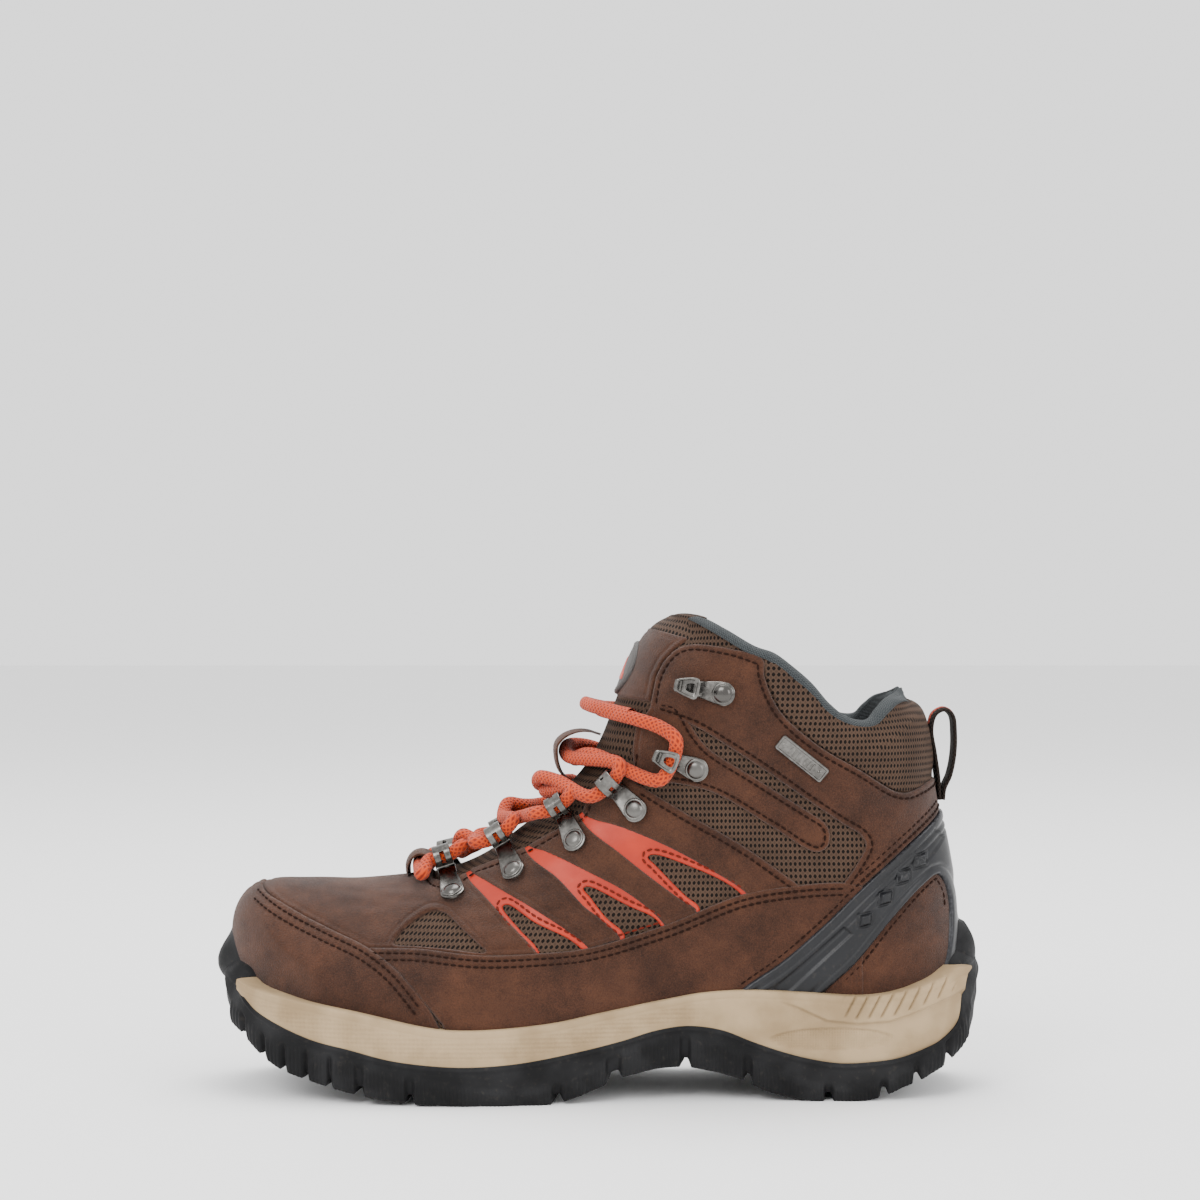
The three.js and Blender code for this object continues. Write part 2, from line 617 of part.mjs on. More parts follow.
const laceStops = {};
for (const fitting of fittings) {
  const { matrix, length, lift } = seat(fitting);
  fitting.matrix = matrix;
  const plate = solid(
    placed(
      new THREE.ExtrudeGeometry(plateShape(length, RIVET_HEAD + 0.6, fitting.hook ? 3 : 2.6), {
        depth: SHEET,
        bevelEnabled: false,
        curveSegments: 6,
      }),
      matrix,
    ),
  );
  const hole = solid(placed(disc(RIVET_SHANK + GAP, -FAR, FAR, RIVET_SIDES - 2), matrix));
  const shankDisc = disc(RIVET_SHANK, -lift - SUEDE + GAP, SHEET + GAP + 0.2, RIVET_SIDES - 2);
  const shank = solid(placed(shankDisc, matrix));
  const crown = new THREE.LatheGeometry(
    [
      new THREE.Vector2(0, 0),
      new THREE.Vector2(RIVET_HEAD, 0),
      new THREE.Vector2(RIVET_HEAD, 0.4),
      new THREE.Vector2(RIVET_HEAD * 0.7, RIVET_DOME * 0.8),
      new THREE.Vector2(0, RIVET_DOME * 1.1),
    ],
    RIVET_SIDES + 2,
  );
  crown.rotateX(Math.PI / 2);
  crown.translate(0, 0, fitting.hook ? SHEET - 0.1 : SHEET + GAP);
  fitting.rivetBody = shank.add(solid(placed(crown, matrix)));
  shankHoles.push(solid(placed(disc(RIVET_SHANK + GAP, -lift - SUEDE * 2, 0, RIVET_SIDES - 2), matrix)));
  let carrier;
  if (fitting.hook) {
    const inside = SHEET + HOOK_ROOM;
    const claw = new THREE.Shape();
    claw.moveTo(length - 2, 0);
    claw.lineTo(length + 2.2, 0);
    claw.lineTo(length + 3, 2);
    claw.lineTo(length + 3, inside);
    claw.lineTo(length + 2, inside + SHEET);
    claw.lineTo(length - 5.5, inside + SHEET);
    claw.lineTo(length - 5.5, inside);
    claw.lineTo(length + 1.6, inside);
    claw.lineTo(length + 2, 2.2);
    claw.lineTo(length + 1.4, SHEET);
    claw.lineTo(length - 2, SHEET);
    const bent = new THREE.ExtrudeGeometry(claw, { depth: 6, bevelEnabled: false });
    bent.rotateX(Math.PI / 2);
    bent.translate(0, 3, 0);
    carrier = solid(placed(bent, matrix));
    laceStops[fitting.name] = new THREE.Vector3(length - 2.2, 0, SHEET + HOOK_ROOM / 2).applyMatrix4(matrix);
  } else {
    const rolled = new THREE.Shape();
    rolled.absarc(0, 0, RING_RADIUS, 0, Math.PI * 2);
    const bore = new THREE.Path();
    bore.absarc(0, 0, RING_RADIUS - RING_WIRE, 0, Math.PI * 2);
    rolled.holes.push(bore);
    const eye = new THREE.ExtrudeGeometry(rolled, {
      depth: EYE_WIDTH,
      bevelEnabled: false,
      curveSegments: EYE_SIDES / 2,
    });
    eye.rotateX(Math.PI / 2);
    eye.translate(length + RING_WIRE, EYE_WIDTH / 2, RING_RADIUS);
    carrier = solid(placed(eye, matrix));
    laceStops[fitting.name] = new THREE.Vector3(length + RING_WIRE, 0, RING_RADIUS).applyMatrix4(matrix);
  }
  const carried = plate.add(carrier);
  fitting.plateBody = fitting.hook ? carried.add(fitting.rivetBody) : carried.subtract(hole);
  fitting.axis = new THREE.Vector3(0, 1, 0).transformDirection(matrix);
}

const drilled = (body) => shankHoles.reduce((rest, hole) => rest.subtract(hole), body);

// Suede, inserts and windows of the lacing area.
const lacing = throughBoot(lacingArea);
const open = throatGrown.add(toeCapGrown).add(randGrown);
const lacingSkin = suedeLayer.intersect(lacing).subtract(open);
const flashesGrown = FLASHES.map((flash) => throughBoot(grow(flash, GAP)));
const windowsGrown = WINDOWS.map((window) => throughBoot(window));
const beforeCut = (cut) => throughBoot([...cut, [-FAR, 0], [-FAR, FAR]]);
const cuts = FINGER_CUTS.map(beforeCut);
const frontWindow = throughBoot(FRONT_WINDOW);

addSolid("toe_cap", "suede", suedeLayer.intersect(toeCap));
const vamp = lacingSkin.intersect(cuts[0]).subtract(flashesGrown[0]).subtract(frontWindow);
addSolid("vamp", "suede", drilled(vamp));
for (const [sideName, side] of Object.entries(SIDES)) {
  const half = onSide([[-FAR, -FAR], [FAR, -FAR], [FAR, FAR], [-FAR, FAR]], side);
  for (let i = 1; i <= FLASHES.length; i++) {
    const from = lacingSkin.intersect(half).subtract(cuts[i - 1]).subtract(flashesGrown[i - 1]);
    const upTo = i < FLASHES.length ? from.intersect(cuts[i]).subtract(flashesGrown[i]) : from;
    addSolid(`eyestay_${i + 1}_${sideName}`, "suede", drilled(upTo));
    const flash = suedeLayer.intersect(half).intersect(throughBoot(FLASHES[i - 1]));
    addSolid(`insert_${i}_${sideName}`, "insert", flash.subtract(windowsGrown[i - 1]).subtract(open));
  }
  const sideRand = suedeLayer.intersect(half).intersect(rand).subtract(toeCapGrown).subtract(cageGrown);
  addSolid(`rand_${sideName}`, "suede", sideRand);
  const finger = suedeLayer.intersect(half).intersect(throughBoot(MIDDLE_FINGER)).subtract(throatGrown);
  addSolid(`side_finger_${sideName}`, "suede", drilled(finger));
  const quarterSide = suedeLayer.intersect(onSide(quarterArea, side));
  const quarterSkin = quarterSide.subtract(cageGrown).subtract(randGrown);
  const seam = across([[gradeX(100), 0], [FAR, 0], [FAR, FAR], [gradeX(100), FAR]], -GAP / 2, GAP / 2);
  addSolid(`quarter_${sideName}`, "suede", drilled(quarterSkin.subtract(seam).subtract(throatGrown)));
  const heel = suedeLayer.intersect(half).intersect(throughBoot(grow(heelArea, -GAP)));
  addSolid(`heel_panel_${sideName}`, "suede", heel);
}
addSolid("heel_cage", "cage", suedeLayer.intersect(cage));
const collarBand = suedeLayer.intersect(throughBoot(collarArea));
const collarSkin = collarBand.subtract(throughBoot(grow(quarterArea, GAP)));
addSolid("collar_mesh", "fabric", collarSkin);

const meshArea = throughBoot([[gradeX(-96), 0], [FAR, 0], [FAR, FAR], [gradeX(-96), FAR]]);
const meshBody = meshLayer.intersect(meshArea).subtract(throatGrown);
addSolid("mesh_shell", "fabric", meshBody);

// Lining, open at the throat where the tongue lies.
const tongueWide = grow(THROAT, 4);
addSolid("collar_lining", "lining", liningLayer.subtract(throughBoot(grow(THROAT, 4 + GAP))));

// Tongue: a lower part sewn into the throat and an upper part that folds forward.
const HINGE = [gradeX(5.6), gradeZ(152.5)];
const hingeCut = (shift) => {
  const [x, z] = HINGE;
  return [[-FAR, z + shift + 14], [x, z + shift], [FAR, z + shift - 60], [FAR, FAR], [-FAR, FAR]];
};
const upperZone = throughBoot(hingeCut(GAP));
const lowerZone = throughBoot(hingeCut(0));
const tongueCore = layer(LINING_BACK, MESH_TOP).intersect(aboveFeather);
const tongueNarrow = throughBoot(grow(THROAT, -0.6));
const tongueFlap = layer(LINING_BACK - GAP, LINING_TOP + GAP).intersect(throughBoot(tongueWide));
addSolid("tongue_lower", "fabric", tongueCore.intersect(tongueNarrow).add(tongueFlap).subtract(lowerZone));
addSolid("tongue_upper", "fabric", tongueCore.intersect(tongueNarrow).intersect(upperZone));
const FACE_TOP = graded([
  [0, 250], [21.5, 183], [24.5, 181], [27, 178.4], [32, 173], [60, 150], [-60, 100], [-60, 250],
]);
const faceBody = suedeLayer.intersect(tongueNarrow).intersect(upperZone).intersect(throughBoot(FACE_TOP));
addSolid("tongue_face", "suede", faceBody);

// Oval patch on the tongue.
const patch = new THREE.CylinderGeometry(1, 1, 80, 24);
patch.rotateZ(Math.PI / 2);
patch.scale(1, gradeY(15), gradeZ(10.5));
patch.translate(0, 0, gradeZ(165.5));
addSolid("tongue_patch", "badge", layer(-GAP, -GAP - PATCH).intersect(solid(patch)));

// Straps that hold the lace to the tongue.
function keeper(heightFrom, heightTo, halfTurn, rise) {
  const rows = 8;
  const columns = 4;
  const sections = [];
  for (let row = 0; row <= rows; row++) {
    const share = row / rows;
    const height = heightFrom + share * (heightTo - heightFrom);
    const lift = GAP + rise * Math.sin(Math.PI * share) ** 0.4;
    const section = [];
    for (const [extra, order] of [[0, -1], [STRAP, 1]]) {
      for (let c = 0; c <= columns; c++) {
        const turn = order * halfTurn * ((2 * c) / columns - 1);
        section.push(skinPoint(turn, height, lift + extra).toArray());
      }
    }
    sections.push(section);
  }
  return loft(sections);
}

// Lace: one cord, laid over the skin between the stops it runs through.
const OVER = LACE / 2 + 0.7;
const UNDER_PASS = 0.6;
const OVER_PASS = UNDER_PASS + LACE + 0.5;
const CROSSING = 0.6;
const NEAR_STOP = EYE_WIDTH / 2 + 0.4;
const LEAVING = 8.5;
const FROM_CROSSING = [-LEAVING, 1.6];
const FROM_BAR = [-NEAR_STOP - 2.2, 0.2];
const fittingNamed = (name) => fittings.find((one) => one.name === name);

// Points through a ring or hook, from its toe side to its heel side.
function through(name, approach) {
  const fitting = fittingNamed(name);
  const centre = laceStops[name];
  const heelward = fitting.axis.clone().multiplyScalar(Math.sign(fitting.axis.x));
  const out = new THREE.Vector3(1, 0, 0).transformDirection(fitting.matrix);
  const normal = new THREE.Vector3(0, 0, 1).transformDirection(fitting.matrix);
  const steps = [approach, [-NEAR_STOP, 0], [0, 0], [NEAR_STOP, 0], [LEAVING, 1.6]];
  return steps.map(([away, ahead]) =>
    centre
      .clone()
      .addScaledVector(heelward, away)
      .addScaledVector(out, ahead)
      .addScaledVector(normal, ahead * 0.7),
  );
}

// Points over the tongue between two places on opposite sides.
function over(from, to, lifts) {
  return lifts.map((lift, i) => {
    const share = 0.5 + CROSSING * ((i + 1) / (lifts.length + 1) - 0.5);
    const turn = from.turn + share * (to.turn - from.turn);
    const height = from.height + share * (to.height - from.height);
    return skinPoint(turn, height, OVER + lift);
  });
}

const stopPlace = (name) => locate(fittingNamed(name).end, fittingNamed(name).side);
const sideName = (side) => (side < 0 ? "lateral" : "medial");

// From the toe bar up to the tucked end of one strand; the strand starts at a side's lowest ring.
function strand(side, lifts, knotLifts) {
  const points = [];
  let here = side;
  for (let i = 1; i <= RINGS.length; i++) {
    const name = `ring_${i}_${sideName(here)}`;
    const next = i < RINGS.length ? `ring_${i + 1}_${sideName(-here)}` : `hook_5_${sideName(-here)}`;
    points.push(...through(name, i === 1 ? FROM_BAR : FROM_CROSSING));
    points.push(...over(stopPlace(name), stopPlace(next), lifts));
    here = -here;
  }
  points.push(...through(`hook_5_${sideName(here)}`, FROM_CROSSING));
  const KNOT_ROUTE = [[25, 143], [17, 145.5]];
  for (const place of KNOT_ROUTE) {
    const at = locate(place, here);
    points.push(skinPoint(at.turn, at.height, OVER + UNDER_PASS));
  }
  const from = locate(KNOT_ROUTE[1], here);
  const to = locate([14.5, 147], -here);
  points.push(...over(from, to, knotLifts), skinPoint(to.turn, to.height, OVER));
  return points;
}

const UNDER = [UNDER_PASS, UNDER_PASS, UNDER_PASS];
const ABOVE = [UNDER_PASS + 3, OVER_PASS, UNDER_PASS + 3];
const first = strand(SIDES.lateral, UNDER, [UNDER_PASS, UNDER_PASS, 1]);
const second = strand(SIDES.medial, ABOVE, [UNDER_PASS + 3, OVER_PASS, UNDER_PASS + 3]);
const BAR_PLACE = [-69, 80.6];
const BAR_FRONT = -71;
const BAR_LIFT = 1.1;
const barEnd = (side) => locate(BAR_PLACE, side);
const barHeight = frontCurve.findLastIndex(([x]) => x < gradeX(BAR_FRONT)) / CURVE_STEPS;
const barMiddle = { turn: 0, height: barHeight };
const toeBar = [barEnd(SIDES.lateral), barMiddle, barEnd(SIDES.medial)].map(({ turn, height }) =>
  skinPoint(turn, height, OVER + BAR_LIFT),
);
const KEEPER_SPARE = 0.6;
const LOW_KEEPER_REACH = 0.024;
const HIGH_KEEPER_REACH = 0.045;
const HIGH_KEEPER_TURN = 0.05;
const lowKeeper = barMiddle.height;
const lowRise = OVER + BAR_LIFT + LACE / 2 + KEEPER_SPARE;
// The low strap ends at a set distance, across the boot, from where the lace enters the first ring.
const KEEPER_TO_RING = 1.48;
const firstRingTurn = Math.abs(stopPlace("ring_1_lateral").turn);
const ringAcross = skinPoint(firstRingTurn, lowKeeper, 0).y - skinPoint(0, lowKeeper, 0).y;
const widthPerTurn = Math.abs(ringAcross) / firstRingTurn;
const lowKeeperTurn = firstRingTurn - KEEPER_TO_RING / widthPerTurn;
addSolid(
  "keeper_lower",
  "suede",
  keeper(lowKeeper - LOW_KEEPER_REACH, lowKeeper + LOW_KEEPER_REACH, lowKeeperTurn, lowRise),
);
const highKeeper = (stopPlace("ring_4_lateral").height + stopPlace("hook_5_lateral").height) / 2;
const highRise = OVER + OVER_PASS + LACE / 2 + KEEPER_SPARE;
addSolid(
  "keeper_upper",
  "suede",
  keeper(highKeeper - HIGH_KEEPER_REACH, highKeeper + HIGH_KEEPER_REACH, HIGH_KEEPER_TURN, highRise),
);

const lacePath = [...first.reverse(), ...toeBar, ...second];
const laceCurve = new THREE.CatmullRomCurve3(lacePath, false, "centripetal");
const laceSection = new THREE.Shape();
laceSection.absarc(0, 0, LACE / 2, 0, Math.PI * 2);
add(
  "lace",
  "lace",
  new THREE.ExtrudeGeometry(laceSection, {
    steps: LACE_STEPS,
    curveSegments: LACE_SIDES / 2,
    extrudePath: laceCurve,
    bevelEnabled: false,
  }),
);

for (const fitting of fittings) {
  addSolid(fitting.name, "metal", fitting.plateBody);
  if (!fitting.hook) {
    addSolid(`${fitting.name}_rivet`, "metal", fitting.rivetBody);
  }
}

// Pull loop: a band of webbing folded double, its seam at the collar's foot.
const WEBBING = 1.8;
const LOOP_WIDTH = 13;
const LOOP_LINE = graded([
  [135.3, 113], [134.7, 122], [133.3, 132], [132, 141], [133.6, 147], [137.4, 148.9], [140.4, 146.6],
  [141.4, 139], [141, 130], [139.4, 122.5], [137.2, 117.5], [136.6, 113],
]);
const loopLine = smooth(LOOP_LINE, 26);
const loopSide = (offset) =>
  loopLine.map(([x, z], i) => {
    const [ax, az] = loopLine[Math.max(i - 1, 0)];
    const [bx, bz] = loopLine[Math.min(i + 1, loopLine.length - 1)];
    const long = Math.hypot(bx - ax, bz - az);
    return [x + (offset * (az - bz)) / long, z + (offset * (bx - ax)) / long];
  });
const LOOP_GAP = (LOOP_LINE[LOOP_LINE.length - 1][0] - LOOP_LINE[0][0]) / 2;
const webbing = Math.min(WEBBING / 2, LOOP_GAP);
const loopShape = [...loopSide(webbing), ...loopSide(-webbing).reverse()];
addSolid("pull_loop", "fabric", across(loopShape, -LOOP_WIDTH / 2, LOOP_WIDTH / 2));

// Metal tag, held a little off the suede behind the ankle.
const TAG_LENGTH = 22.5;
const TAG_HEIGHT = 5;
const TAG_THICK = 0.8;
const tagSeat = seat({ rivet: [69.5, 138], end: [86.5, 124.5], side: SIDES.lateral });
const tag = new THREE.BoxGeometry(TAG_LENGTH, TAG_HEIGHT, TAG_THICK);
tag.translate(tagSeat.length / 2, 0, TAG_THICK / 2);
add("side_tag", "metal", placed(tag, tagSeat.matrix));

// Sole unit.
const planAt = (x) => [rising(plan, x, 1), rising(plan, x, 2)];
const section = (x, low, high, inset, chamfer) => {
  const [outer, inner] = planAt(x);
  const cut = Math.min(chamfer, (high - low) / 3, (inner - outer) / 6);
  return [
    [x, outer + inset + cut, low],
    [x, outer + inset, low + cut],
    [x, outer + inset, high],
    [x, inner - inset, high],
    [x, inner - inset, low + cut],
    [x, inner - inset - cut, low],
  ];
};
const soleLine = (x) => rising(SOLE_LINE, x);
const groundLine = (x) => rising(GROUND_LINE, x);

const MIDSOLE_FRONT = gradeX(-139);
const MIDSOLE_BACK = gradeX(141);
const midsoleStations = [
  MIDSOLE_FRONT,
  ...soleStations.filter((x) => x > MIDSOLE_FRONT + 2 && x < MIDSOLE_BACK - 2),
  MIDSOLE_BACK,
];
const MIDSOLE_INSET = 0.8;
const midsoleRaw = loft(
  midsoleStations.map((x) => section(x, soleLine(x) + GAP, featherLine(x) - GAP / 2, MIDSOLE_INSET, 1)),
);
const SHANK_AT = gradeX(22);
const shankLine = (x, drop) => [x, featherLine(x) - GAP / 2 - drop];
const shankXs = [0, 0.2, 0.4, 0.6, 0.8, 1].map((share) => SHANK_AT + (share - 0.5) * SHANK_LENGTH);
const shankBand = (top, bottom, spare) => [
  ...shankXs.map((x, i) => shankLine(x + (i === 0 ? -spare : i === 5 ? spare : 0), top)),
  ...shankXs.map((x, i) => shankLine(x + (i === 0 ? -spare : i === 5 ? spare : 0), bottom)).reverse(),
];
const channelHalf = SHANK_WIDTH / 2 + GAP;
const channel = across(shankBand(-FAR / 10, SHANK + 2 * GAP, GAP), -channelHalf, channelHalf);
addSolid("midsole", "foam", midsoleRaw.subtract(channel));
addSolid("shank", "metal", across(shankBand(GAP, SHANK + GAP, 0), -SHANK_WIDTH / 2, SHANK_WIDTH / 2));

const plateLow = (x) => Math.min(groundLine(x) + PLATE, soleLine(x) - 2);
const wallTop = (x) => Math.max(soleLine(x), groundLine(x) + 3);
const footprint = loft(soleStations.map((x) => section(x, groundLine(x), wallTop(x), 0, 0.8)));
const plate = loft(soleStations.map((x) => section(x, plateLow(x), wallTop(x), 0, 0.8)));

// Lugs: a row along each edge and a row down the middle, each a block through the whole sole.
const EDGE_LUGS = [
  [-145, 5], [-136, 5], [-127, 5], [-118, 5.5], [-108, 6], [-97, 7], [-83, 15], [-54, 30], [-20, 14],
  [18, 20], [42, 18], [72, 26], [95, 15], [113, 14], [130, 12], [143, 8],
];
const CENTRE_LUGS = [
  [-132, 12], [-112, 14], [-90, 16], [-66, 18], [-42, 16], [-20, 14], [72, 14], [92, 14], [112, 14],
  [130, 10],
];
const EDGE_LUG_DEPTH = 15;
const lugs = [];
for (const [x, long] of EDGE_LUGS) {
  for (const side of Object.values(SIDES)) {
    const reach = side < 0 ? planAt(gradeX(x))[0] : planAt(gradeX(x))[1];
    const box = new THREE.BoxGeometry(gradeX(long), gradeY(EDGE_LUG_DEPTH * 2), FAR);
    box.translate(gradeX(x), reach, 0);
    lugs.push(solid(box));
  }
}
for (const [x, long] of CENTRE_LUGS) {
  const [outer, inner] = planAt(gradeX(x));
  const pad = new THREE.CylinderGeometry(1, 1, FAR, 6);
  pad.rotateX(Math.PI / 2);
  pad.scale(gradeX(long) / 2, Math.max((inner - outer) / 2 - gradeY(EDGE_LUG_DEPTH) - 3.5, 2), 1);
  pad.translate(gradeX(x), (inner + outer) / 2, 0);
  lugs.push(solid(pad));
}
const tread = lugs.reduce((all, lug) => all.add(lug)).intersect(footprint);
const wrap = layer(-GAP, -RUBBER_WRAP);
const BUMPER = graded([[-170, 30], [-139, 34], [-147.2, 66], [-170, 66]]);
const HEEL_STRIP = graded([[143, 36], [170, 36], [170, 66], [141, 66]]);
const upperRoom = core(-GAP).intersect(aboveFeather);
const bumper = wrap.intersect(throughBoot(BUMPER).add(throughBoot(HEEL_STRIP)));
const midsoleRoom = loft(
  midsoleStations.map((x, i) => {
    const push = i === 0 ? -GAP : i === midsoleStations.length - 1 ? GAP : 0;
    const ring = section(x, soleLine(x), featherLine(x) + 1, MIDSOLE_INSET - GAP, 1);
    return ring.map(([px, y, z]) => [px + push, y, z]);
  }),
);
addSolid("outsole", "rubber", plate.add(tread).add(bumper).subtract(upperRoom).subtract(midsoleRoom));

// Insole board and footbed inside the lining.
const room = core(FOOT_SPACE);
const strip = (from, to) => {
  const lower = featherStations.map(([x, z]) => [x, z + from]);
  const upper = featherStations.map(([x, z]) => [x, z + to]);
  return throughBoot([...lower, ...upper.reverse()]);
};
const boardFrom = GAP;
addSolid("insole_board", "board", room.intersect(strip(boardFrom, boardFrom + BOARD)));
const bedFrom = boardFrom + BOARD + GAP;
addSolid("footbed", "lining", room.intersect(strip(bedFrom, bedFrom + FOOTBED)));

export default boot;
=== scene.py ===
"""Looks of a mid-height lace-up hiking boot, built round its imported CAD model."""
import logging
import math
from dataclasses import dataclass, field
from enum import Enum
from typing import Callable, Optional, Sequence

import bpy
import numpy as np
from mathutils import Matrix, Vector


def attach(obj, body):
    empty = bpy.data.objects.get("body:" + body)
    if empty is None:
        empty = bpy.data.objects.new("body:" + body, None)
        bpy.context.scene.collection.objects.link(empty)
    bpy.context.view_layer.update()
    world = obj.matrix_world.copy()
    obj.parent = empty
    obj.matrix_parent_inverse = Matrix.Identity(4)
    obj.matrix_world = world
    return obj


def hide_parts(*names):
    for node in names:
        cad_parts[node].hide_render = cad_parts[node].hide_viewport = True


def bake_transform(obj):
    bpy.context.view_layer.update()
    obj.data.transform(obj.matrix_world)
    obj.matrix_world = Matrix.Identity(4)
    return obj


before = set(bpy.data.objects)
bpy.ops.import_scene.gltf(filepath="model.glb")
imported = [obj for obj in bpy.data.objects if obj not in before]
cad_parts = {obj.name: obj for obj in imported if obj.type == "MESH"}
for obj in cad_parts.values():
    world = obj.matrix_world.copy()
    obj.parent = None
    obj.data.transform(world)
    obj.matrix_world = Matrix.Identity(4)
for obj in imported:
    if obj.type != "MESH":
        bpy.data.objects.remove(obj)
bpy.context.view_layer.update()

LOG = logging.getLogger("boot")
MM = 0.001
Array = np.ndarray
Outline = Sequence[tuple[float, float]]

# ---------------------------------------------------------------- pattern sheet
# Side-view outlines in millimetres: toe towards -X, sole at Z 0.
FRONT_EDGE = (
    (-142, 43), (-145.5, 50), (-146.5, 60), (-145, 69), (-140.5, 76), (-133, 79.8), (-118, 80.5),
    (-98, 80.6), (-80, 82), (-66, 84.5), (-52, 89), (-42, 94.5), (-33, 101.5), (-24, 108.5),
    (-16, 116.5), (-7, 126), (0, 138), (5, 151), (10, 164), (15, 175), (21, 183), (28, 187),
)
BACK_EDGE = (
    (141, 48), (142, 58), (141, 70), (139.5, 82), (137.5, 94), (135.5, 104), (134, 113),
    (132.8, 122), (131.6, 132), (129.8, 142), (127, 149), (123, 152),
)
FEATHER_LINE = (
    (-142, 43), (-138, 41), (-121, 37.5), (-97, 33.5), (-58, 27), (-22, 28.8), (1, 33),
    (25, 37.5), (40, 40), (57, 40.8), (77, 40), (106, 38.7), (130, 43.5), (141, 48),
)
TOP_LINE = (
    (28, 187), (36, 185.5), (46, 180.5), (58, 173.5), (66, 170.5), (73.5, 165), (81, 158.5),
    (88, 151), (94, 146.5), (101, 144.3), (106.5, 145), (111, 149), (116, 152.5), (120, 153), (123, 152),
)
SOLE_LINE = (
    (-152, 48), (-146, 44), (-142, 41), (-138, 37), (-133.5, 33), (-112, 24), (-96, 20.5), (-81, 17),
    (-66, 15.2), (-50, 14.5), (-30, 15.8), (-7, 19.8), (9, 23.5), (21, 27), (32, 28.7), (40, 28.3),
    (48, 26.7), (60, 22), (77, 16.8), (92, 14.3), (105, 14.7), (115, 16), (125, 19), (132.5, 22),
    (140, 28.4), (141.2, 33), (144, 48), (152, 52),
)
GROUND_LINE = (
    (-152, 48), (-150, 37), (-146, 28), (-140, 23.5), (-132, 16.5), (-124, 11.7), (-112, 8), (-96, 4),
    (-78, 1), (-60, 0), (-18, 0), (-7, 3), (8, 9), (28, 13), (44, 11), (54, 8), (66, 3), (80, 0),
    (104, 0), (118, 5), (128, 9), (138, 15), (143, 20), (148, 27), (152, 40),
)
OUTER_HALF = ((-146, 38), (-110, 46), (-60, 52.5), (-20, 48.5), (20, 42), (60, 38), (100, 36.5), (141, 35))
INNER_HALF = ((-146, 36), (-110, 43), (-75, 47), (-30, 42), (10, 36.5), (50, 35), (100, 36.5), (141, 35))
SHAFT_HALF = ((90, 34), (110, 34.5), (150, 39), (190, 41))
SOLE_PLAN = (
    (-152, 2, 14), (-150, -10, 22), (-146, -19, 29), (-140, -27, 36), (-132, -34, 42), (-122, -40.5, 46.5),
    (-105, -47, 50.5), (-85, -51.5, 53.2), (-60, -54, 54), (-35, -52.5, 50), (-10, -48.5, 43.5),
    (20, -44, 38), (50, -42, 37), (80, -42, 39), (105, -41.5, 40.5), (122, -39, 38.5), (134, -33, 33),
    (141, -27, 27), (144, -23, 23), (147.5, -17, 17), (150.5, -9, 9), (152, -3, 3),
)
THROAT = (
    (-82, 86), (-68, 86), (-66, 82.5), (-59, 82), (-50, 87), (-40, 91), (-28, 96.5), (-17, 103), (-7, 110),
    (-4, 118), (2, 124), (11, 127), (12.5, 136), (14, 144), (19.4, 151), (21.7, 162.7), (24.7, 168.7),
    (29, 173.3), (34, 177), (36, 200), (-82, 200),
)
TOE_SEAM = ((-138, 96), (-135, 79), (-124, 72.5), (-106, 64.6), (-90, 58), (-78, 50), (-66, 37), (-59, 24))
MUD_EDGE = (
    (-90, 58), (-70, 58.2), (-46, 56.2), (-23, 57), (-5, 58.6), (25, 67), (55, 78.5), (77, 82), (95, 83),
    (102, 81.5),
)
CAGE_EDGE = ((50, 36), (54, 41.6), (70.5, 53), (87, 67), (102, 81.5), (120, 97), (132.5, 107), (136, 110),
    (150, 112))
CAGE_INNER = (
    (82, 34), (85.5, 39.7), (98.7, 52), (113, 69), (125, 81), (132, 85), (136.5, 78), (137.5, 70.6),
    (136, 54.6), (134, 46), (132, 34),
)
FRONT_WINDOW = (
    (-80, 60), (-75.4, 66), (-70, 70), (-65, 72), (-60, 71.2), (-53.5, 66), (-47, 60.5), (-44, 57.5),
    (-60, 58.6),
    (-72, 59.2),
)
FLASHES = (
    (
        (-56, 94), (-51.8, 86.3), (-43.7, 82.4), (-37.3, 79.2), (-26.4, 73.7), (-11.6, 64.4), (-4, 58),
        (0, 50),
        (-20, 50), (-24.2, 57.3), (-32, 65.4), (-40, 73), (-46, 78.5), (-52.6, 84.6),
    ),
    (
        (-33, 104), (-28, 96.2), (-21.5, 94.5), (-5.4, 87.6), (11.4, 78.7), (24, 68), (28, 60), (6, 56),
        (8, 62), (0, 70), (-5.5, 74), (-16.5, 85), (-28.4, 93.6),
    ),
    (
        (-12, 118), (-7, 109.2), (9, 104), (26, 97), (43, 87.8), (57, 78.5), (62, 70), (36, 66),
        (37.6, 72.5), (31, 77), (20, 85), (7.5, 94.7), (-6.4, 105.6),
    ),
)
WINDOWS = (
    ((-6, 57), (-11.6, 62), (-25, 68.5), (-36, 75), (-38, 74.2), (-31, 65.8), (-24, 58.5), (-22, 50),
        (-3, 50)),
    ((23, 67.5), (20.7, 70), (11, 74.5), (-4.6, 82), (-6.6, 81.4), (-3.5, 77.5), (2.5, 70), (9.5, 63.5),
        (9, 56), (26, 58)),
    ((55, 78), (49.7, 82.5), (36.4, 88.8), (20.5, 94), (18.4, 93), (21.5, 89.8), (33, 78.2), (38.5, 73.5),
        (38, 66), (58, 70)),
)
FINGER_CUTS = (
    ((-60, 104), (-52.2, 85.4), (-42, 79), (-32, 71.5), (-14, 58), (-8, 40)),
    ((-38, 112), (-28.4, 95.4), (-19, 90), (-6, 83), (10, 71), (22, 40)),
    ((-18, 126), (-7, 108), (8, 99.5), (20, 93), (45, 78), (56, 40)),
)
BAND_UNDER_FINGER = ((-4, 120.5), (3, 125), (10, 123.5), (15.5, 120), (33, 109.5), (55, 97), (75, 83),
    (79, 80))
